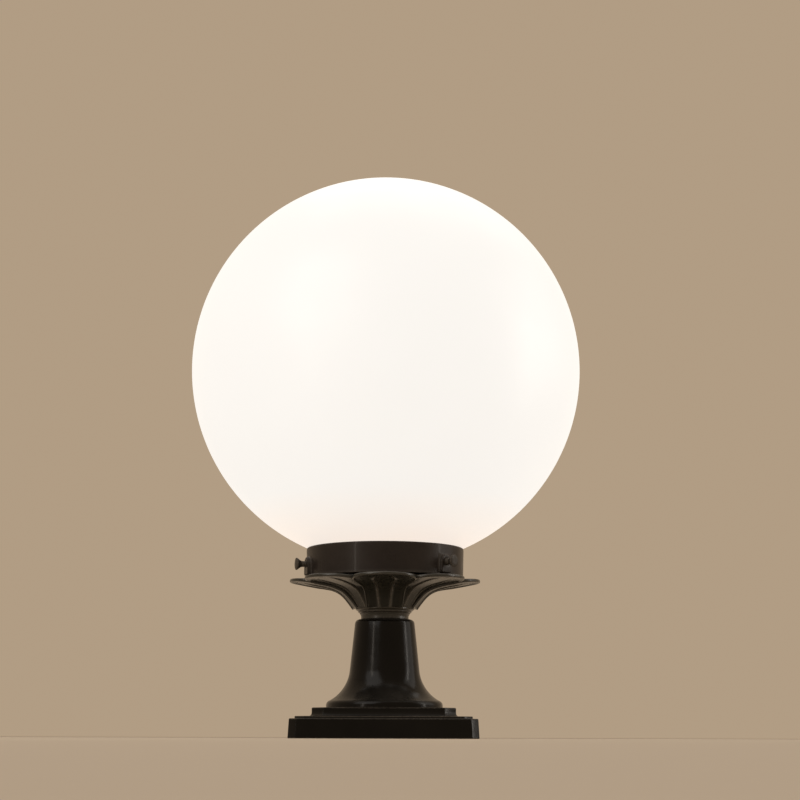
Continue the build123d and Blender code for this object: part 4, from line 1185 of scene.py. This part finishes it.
def hex_nut(bottom, top):
    """Rows of a nut from its bore over the lower face, up its flats and over the upper face.

    The cone of 30 degrees cuts each edge point by its distance past the flats times the cone's tangent.
    """
    angle = np.arange(NUT_COLUMNS) * 2 * math.pi / NUT_COLUMNS
    side = hexagon(angle, NUT_HALF)
    cut = (side - NUT_HALF) * math.tan(math.radians(30)) + 0.12
    flat, bore, entry = NUT_HALF - 0.25, NUT_BORE, NUT_BORE + 0.35
    radius = [bore, entry, flat, side, side, side, side, flat, entry, bore]
    height = [bottom + 0.35, bottom, bottom, bottom + cut, bottom + cut + 0.15,
              top - cut - 0.15, top - cut, top, top, top - 0.35]
    radius = np.stack([np.broadcast_to(value, NUT_COLUMNS) for value in radius])
    height = np.stack([np.broadcast_to(value, NUT_COLUMNS) for value in height])
    return grid(np.stack([radius * np.cos(angle), radius * np.sin(angle), height], -1), round_rows=True)


for node in ("lower_nut", "upper_nut"):
    make_piece(node.replace("nut", "hex_nut"), [hex_nut(*heights(node))], "stand", zinc, [node])
for node in ("lower_washer", "upper_washer"):
    low, high = span(node)
    corners = [(ROD_HOLE, low[2]), (high[0], low[2]), (high[0], high[2]), (ROD_HOLE, high[2])]
    make_piece(node.replace("washer", "flat_washer"), [turned(rounded(corners, WASHER_EDGES, 4), 64)],
               "stand", zinc, [node])

# %% [markdown]
# ## Set screws
# Two headless screws go through the sides of the base and hold it to its mounting plate. Each has the
# thread of the thumbscrews and a socket of six sides for a key. The socket starts as a round hole in the
# profile, and a ripple that acts only at its radius pushes it out to a hexagon.

# %% Set screws
SOCKET, SET_SCREW_R = 1.25, 2.42


def socket_sides(radius, height, angle):
    """Turns the rows at the socket's radius into a hexagon."""
    return np.where(np.abs(radius - SOCKET) < 1e-6, hexagon(angle, SOCKET) - SOCKET, 0.0)


thread_rows = np.arange(60.4, 67.1, 0.1)
set_profile = np.concatenate([
    [(0, 59.5), (1.2, 59.5), (SET_SCREW_R, 60.3)],
    np.stack([np.full(len(thread_rows), SET_SCREW_R), thread_rows], 1),
    [(SET_SCREW_R, 67.2), (2.05, 67.65), (1.6, 67.65), (SOCKET, 67.5), (SOCKET, 65.6), (0, 65.3)]])
set_ripple = both(helix(THREAD_PITCH, 0.35, 60.3, 67.2), socket_sides)
set_pair = [turned(set_profile, 48, closed=False, ripple=set_ripple) for _ in range(2)]
for part, azimuth in zip(set_pair, (0.0, math.pi)):
    part["points"] = at_screw(azimuth, SET_Z)(part["points"])
make_piece("hollow_set_screws", set_pair, "stand", screw_black, ["base_set_screws"])

# %% [markdown]
# ## The lamp's holder
# Inside the globe a lamp screws into a glazed holder. The cap and the shell share one round thread,
# rolled from thin sheet. Two plain cylinders would pass at this size, but the lamp really screws out. So
# both are the same wave along the same helix, with a small gap between them: when the lamp turns and
# rises by its pitch, one thread still lies in the other.

# %% Holder and shell
CAP_PITCH = 3.629
holder_foot, holder_rim = heights("lampholder_body")
shell_foot, shell_rim = heights("lampholder_shell")
holder_profile = rounded(
    [(0, holder_foot + 6), (5, holder_foot + 6), (5, holder_foot), (18, holder_foot), (18, holder_foot + 6),
     (20.5, holder_foot + 6.6), (20.5, holder_foot + 10), (20.05, holder_foot + 10.5),
     (20.5, holder_foot + 11), (20.5, holder_rim), (13.95, holder_rim), (13.95, shell_foot), (0, shell_foot)],
    [0, 0.4, 0.5, 0.6, 0.5, 0.8, 0.3, 0.3, 0.3, 1.4, 0.8, 0.6, 0], closed=False)
make_piece("glazed_holder", [turned(holder_profile, 96, closed=False)], "stand", ceramic,
           ["lampholder_body"])


def rolled(start, stop, depth):
    """A rolled thread: a sine wave along the cap's helix, faded in and out at its ends."""

    def ripple(radius, height, angle):
        wave = np.sin(2 * math.pi * (height / CAP_PITCH - angle / (2 * math.pi)))
        fade = np.clip((height - start) / 2, 0, 1) * np.clip((stop - height) / 2, 0, 1)
        return depth * (wave - 1) * fade

    return ripple


SHELL_R, SHELL_BORE, SHEET_STEP = 13.78, 13.36, 0.35
shell_rows = np.arange(shell_foot, shell_rim + 0.01, SHEET_STEP)
shell_profile = np.concatenate([np.stack([np.full(len(shell_rows), SHELL_R), shell_rows], 1),
                                np.stack([np.full(len(shell_rows), SHELL_BORE), shell_rows[::-1]], 1)])
make_piece("threaded_shell", [turned(shell_profile, 72, ripple=rolled(shell_foot + 1, shell_rim - 1, 0.3))],
           "stand", brass, ["lampholder_shell"])

# %% [markdown]
# ## The lamp
# A lamp is made from the bottom up: a soldered tip, a cone of black glass that insulates it, the screw
# cap, a housing with narrow cooling slots, and a frosted dome. One turned shape would do for them all,
# but each has its own finish, so each is a piece of its own.

# %% Tip, glass and cap
tip_foot, tip_top = heights("lamp_contact")
cap_foot, cap_top = heights("lamp_cap")
CAP_R = 13.04
tip = rounded([(0, tip_foot), (3.6, tip_foot), (4.78, tip_foot + 0.5), (4.78, tip_top), (0, tip_top)],
              [0, 1.2, 0.3, 0.1, 0], closed=False)
make_piece("solder_tip", [turned(tip, 40, closed=False)], "lamp_rise", brass, ["lamp_contact"])
glass = rounded([(0, tip_top), (5.95, tip_top), (8.6, tip_top + 1.2), (11.8, cap_foot), (0, cap_foot)],
                [0, 0.4, 3.0, 0.2, 0], closed=False)
make_piece("glass_cone", [turned(glass, 64, closed=False)], "lamp", cap_glass,
           ["lamp_insulator"])
cap_rows = np.arange(cap_foot + 1.0, cap_top - 0.6, SHEET_STEP)
cap_profile = np.concatenate([
    [(0, cap_foot), (12.0, cap_foot), (12.7, cap_foot + 0.35)],
    np.stack([np.full(len(cap_rows), CAP_R), cap_rows], 1),
    [(CAP_R, cap_top - 0.4), (12.8, cap_top), (0, cap_top)]])
cap_thread = rolled(cap_foot + 0.6, cap_top - 2, 0.45)
make_piece("screw_cap", [turned(cap_profile, 96, closed=False, ripple=cap_thread)], "lamp", aluminium,
           ["lamp_cap"])

# %% [markdown]
# The housing swells upwards and has narrow cooling slots. They could be cut with booleans. Here they
# need no cut: the radius falls to the slot's floor between two angles and two heights, and columns and
# rows set close on both sides of each slot make its walls steep.

# %% Slotted housing
housing_foot, housing_top = heights("lamp_housing")
NECK_SWELL = 11.73  # how much wider the housing's top is than its foot
SLOTS, SLOT_FLOOR, SLOT_REACH = 12, 18.2, 10.8
SLOT_EDGE = 0.0275  # half a slot's width, as an angle
slot_middle = (housing_foot + housing_top) / 2
slot_step = 2 * math.pi / SLOTS
slot_sides = [-0.029, -0.0265, 0.0265, 0.029]
slot_marks = np.concatenate([slot_sides, np.linspace(0.05, slot_step - 0.05, 9)])
slot_angles = (np.arange(SLOTS)[:, None] * slot_step + slot_marks[None]).ravel()


def slots(radius, height, angle):
    """Narrow slots: inside them the radius falls to the slot's floor."""
    offset = (angle + slot_step / 2) % slot_step - slot_step / 2
    inside = (np.abs(offset) < SLOT_EDGE) & (np.abs(height - slot_middle) < SLOT_REACH)
    return np.where(inside & (radius > SLOT_FLOOR), SLOT_FLOOR - radius, 0.0)


# The wall swells by a mix of a straight line and a smooth step.
rise = np.linspace(0, 1, 34)
swell = 14.25 + NECK_SWELL * (3 * rise**2 - 2 * rise**3) * 0.45 + NECK_SWELL * rise * 0.55
wall_z = housing_foot + (housing_top - housing_foot) * rise
slot_ends = slot_middle + SLOT_REACH * np.array([-1.001, -0.999, 0.999, 1.001])
wall_rows = np.sort(np.concatenate([wall_z, slot_ends]))
wall = np.stack([np.interp(wall_rows, wall_z, swell), wall_rows], 1)
housing_profile = np.concatenate([
    [(0, housing_foot), (13.9, housing_foot)], wall[1:-1],
    [(25.9, housing_top - 0.35), (25.5, housing_top), (0, housing_top)]])
make_piece("slotted_housing", [turned(housing_profile, slot_angles, closed=False, ripple=slots)],
           "lamp", white_shell, ["lamp_housing"], sharp=35)

# %% [markdown]
# The dome is most of a ball, open below, with a thin even wall. Its profile starts at the outer pole,
# comes down to the rim and goes back up inside, like the globe's.

# %% Frosted dome
dome_low, dome_high = span("lamp_diffuser")
DOME_R, DOME_WALL = dome_high[0], 1.2
DOME_RIM, DOME_MOUTH = 25.98, 25.1
dome_middle = dome_high[2] - DOME_R


def dome_arc(radius, turn):
    """Points of (distance from the axis, height) on a ball. The turn is counted from straight down."""
    return np.stack([radius * np.sin(turn), dome_middle - radius * np.cos(turn)], 1)


inner_r = DOME_R - DOME_WALL
dome = np.concatenate([
    dome_arc(DOME_R, np.linspace(math.pi, math.asin(DOME_RIM / DOME_R), 60)),
    dome_arc(inner_r, np.linspace(math.asin(DOME_MOUTH / inner_r), math.pi, 50))])
dome[:, 0] = np.abs(dome[:, 0])
dome[:, 1] = np.maximum(dome[:, 1], dome_low[2])
make_piece("frosted_dome", [turned(dome, 96, closed=False)], "lamp", frosted,
           ["lamp_diffuser"])

# %% [markdown]
# ## The wires
# Three short insulated wires join the terminals in the base: two rise through the hollow rod to the
# holder, and the green and yellow one ends at the earth tag. A curve with a round bevel would draw them
# too. Here each is a round tube along a path with bent corners, because a mesh can carry the stripe: an
# attribute that marks the upper side of the earth wire.

# %% Wires
WIRE_R, WIRE_SIDES = 1.18, 16
STRIPE_EDGE = 0.3
# Each wire has its piece name, finish, slot, corner points and the radius of each bend.
wires = {
    "live_wire": ("brown_core", wire_brown, "wire_brown",
                  [(1.7, 0, 146), (1.7, 0, 5.4), (1.7, 9, 5.4), (8, 15, 5.4), (8, 20, 5.4)],
                  [0, 4.0, 2.4, 2.4, 0]),
    "neutral_wire": ("blue_core", wire_blue, "wire_blue",
                     [(-1.7, 0, 146), (-1.7, 0, 5.4), (-1.7, 10, 5.4), (0, 15, 5.4), (0, 20, 5.4)],
                     [0, 4.0, 2.4, 2.4, 0]),
    "earth_wire": ("earth_core", wire_green, "wire_green",
                   [(-8, 20, 5.4), (-8, 15, 5.4), (-14.4, 10, 3.6), (-21.6, 10, 3.6)], [0, 2.4, 2.4, 0]),
}
for node, (name, finish, slot, route, bends) in wires.items():
    path = rounded(route, bends, 8, closed=False)
    path = path[np.concatenate([[True], np.linalg.norm(np.diff(path, axis=0), axis=1) > 1e-6])]
    core = make_piece(name, [tube(path, WIRE_R, WIRE_SIDES)], "stand", finish, [node], sharp=60)
    if node == "earth_wire":
        spots = np.empty(len(core.data.vertices) * 3)
        core.data.vertices.foreach_get("co", spots)
        spots = spots.reshape(-1, 3) / MM
        middle = np.interp(spots[:, 0], path[::-1, 0], path[::-1, 2])
        stripe_side = core.data.attributes.new("stripe", "FLOAT", "POINT")
        stripe_side.data.foreach_set("value", (spots[:, 2] - middle > STRIPE_EDGE).astype(np.float32))

# %% [markdown]
# ## Fittings that keep their CAD shape
# Stampings, gaskets, small screws and moulded blocks are plain shapes whose CAD solids already hold
# every edge, and most of them are hidden. They keep those meshes and only take a finish. Each one is
# named here with the finish that the real part would have.

# %% Finishes for the carried-over parts
finishes = {
    "mounting_plate": zinc, "base_gasket": rubber, "seat_gasket": rubber, "cable_grommet": rubber,
    "holder_bracket": zinc, "holder_screws": zinc, "lampholder_contact": brass,
    "terminal_block": strip_plastic, "terminal_screws": brass, "earth_tag": brass, "earth_screw": zinc,
}
for node, finish in finishes.items():
    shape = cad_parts[node]
    shape.data.materials.clear()
    shape.data.materials.append(finish)
print("carried over:", len(finishes))

# %% [markdown]
# ## Floor and backdrop
# The floor is a large plain sheet at the height of the base. Behind the object the camera sees one warm
# tan, and so do mirror-like surfaces, because the paint shows what stands round it. The soft light that
# comes from all round has a paler tone of its own, so that it doesn't tint the object. A world can do
# both at once, by asking what kind of ray has reached it.

# %% Floor and backdrop
BACKDROP = (0.44, 0.335, 0.23)
AMBIENT = (0.416, 0.36, 0.296)
FLOOR_REACH = 9  # metres
floor_mesh = bpy.data.meshes.new("floor")
corners = [(x * FLOOR_REACH, y * FLOOR_REACH, 0) for x, y in ((-1, -1), (1, -1), (1, 1), (-1, 1))]
floor_mesh.from_pydata(corners, [], [(0, 1, 2, 3)])
floor = bpy.data.objects.new("floor", floor_mesh)
bpy.context.scene.collection.objects.link(floor)
floor_finish, floor_shader = new_finish("floor", (0.6, 0.5, 0.39), 0.9)
floor_shader.inputs["Specular IOR Level"].default_value = 0.1
floor_mesh.materials.append(floor_finish)

world = bpy.data.worlds.new("backdrop")
world.use_nodes = True
bpy.context.scene.world = world
tree = world.node_tree
rays = tree.nodes.new("ShaderNodeLightPath")
seen = rays.outputs["Is Camera Ray"]
for ray in ("Is Glossy Ray", "Is Transmission Ray"):
    either = tree.nodes.new("ShaderNodeMath")
    either.operation = "MAXIMUM"
    tree.links.new(seen, either.inputs[0])
    tree.links.new(rays.outputs[ray], either.inputs[1])
    seen = either.outputs[0]
tone = tree.nodes.new("ShaderNodeMix")
tone.data_type = "RGBA"
tone.inputs[COLOR_A].default_value = (*AMBIENT, 1)
tone.inputs[COLOR_B].default_value = (*BACKDROP, 1)
tree.links.new(seen, tone.inputs["Factor"])
tree.links.new(tone.outputs[COLOR_OUT], tree.nodes["Background"].inputs["Color"])
print("backdrop", BACKDROP, "and light from all round", AMBIENT)

# %% [markdown]
# ## Lamps
# A big soft lamp from the upper left gives the form, a weaker one fills from the right and one stands
# above. Two narrow upright lamps draw the long streaks that show how glossy and how straight the column
# is. A picture that lies all round could light the scene instead, but five plain area lamps take no
# file and are easy to move.

# %% Lamps


def lamp(name, place, aim, size, power, color=(1, 1, 1)):
    """An area lamp at a place in metres, turned to look at a point. Its power is in watts."""
    data = bpy.data.lights.new(name, "AREA")
    data.shape = "RECTANGLE"
    data.size, data.size_y = size
    data.energy = power
    data.color = color
    light = bpy.data.objects.new(name, data)
    turn = (Vector(aim) - Vector(place)).to_track_quat("-Z", "Y").to_matrix().to_4x4()
    light.matrix_world = Matrix.Translation(place) @ turn
    bpy.context.scene.collection.objects.link(light)


lamp("key", (-1.4, -1.6, 1.7), (0, 0, 0.15), (2.0, 2.0), 18, (1.0, 0.98, 0.95))
lamp("fill", (1.9, 0.2, 0.9), (0, 0, 0.15), (1.4, 1.6), 6, (1.0, 0.97, 0.93))
lamp("top", (0.2, 0.8, 2.0), (0, 0, 0.2), (1.8, 1.6), 7)
lamp("strip_left", (-0.78, -0.86, 0.25), (0, 0, 0.1), (0.05, 0.9), 1.1, (1.0, 0.9, 0.78))
lamp("strip_right", (1.1, -0.1, 0.3), (0, 0, 0.1), (0.06, 0.9), 1.4, (1.0, 0.93, 0.85))
print("lamps:", len(bpy.data.lights))
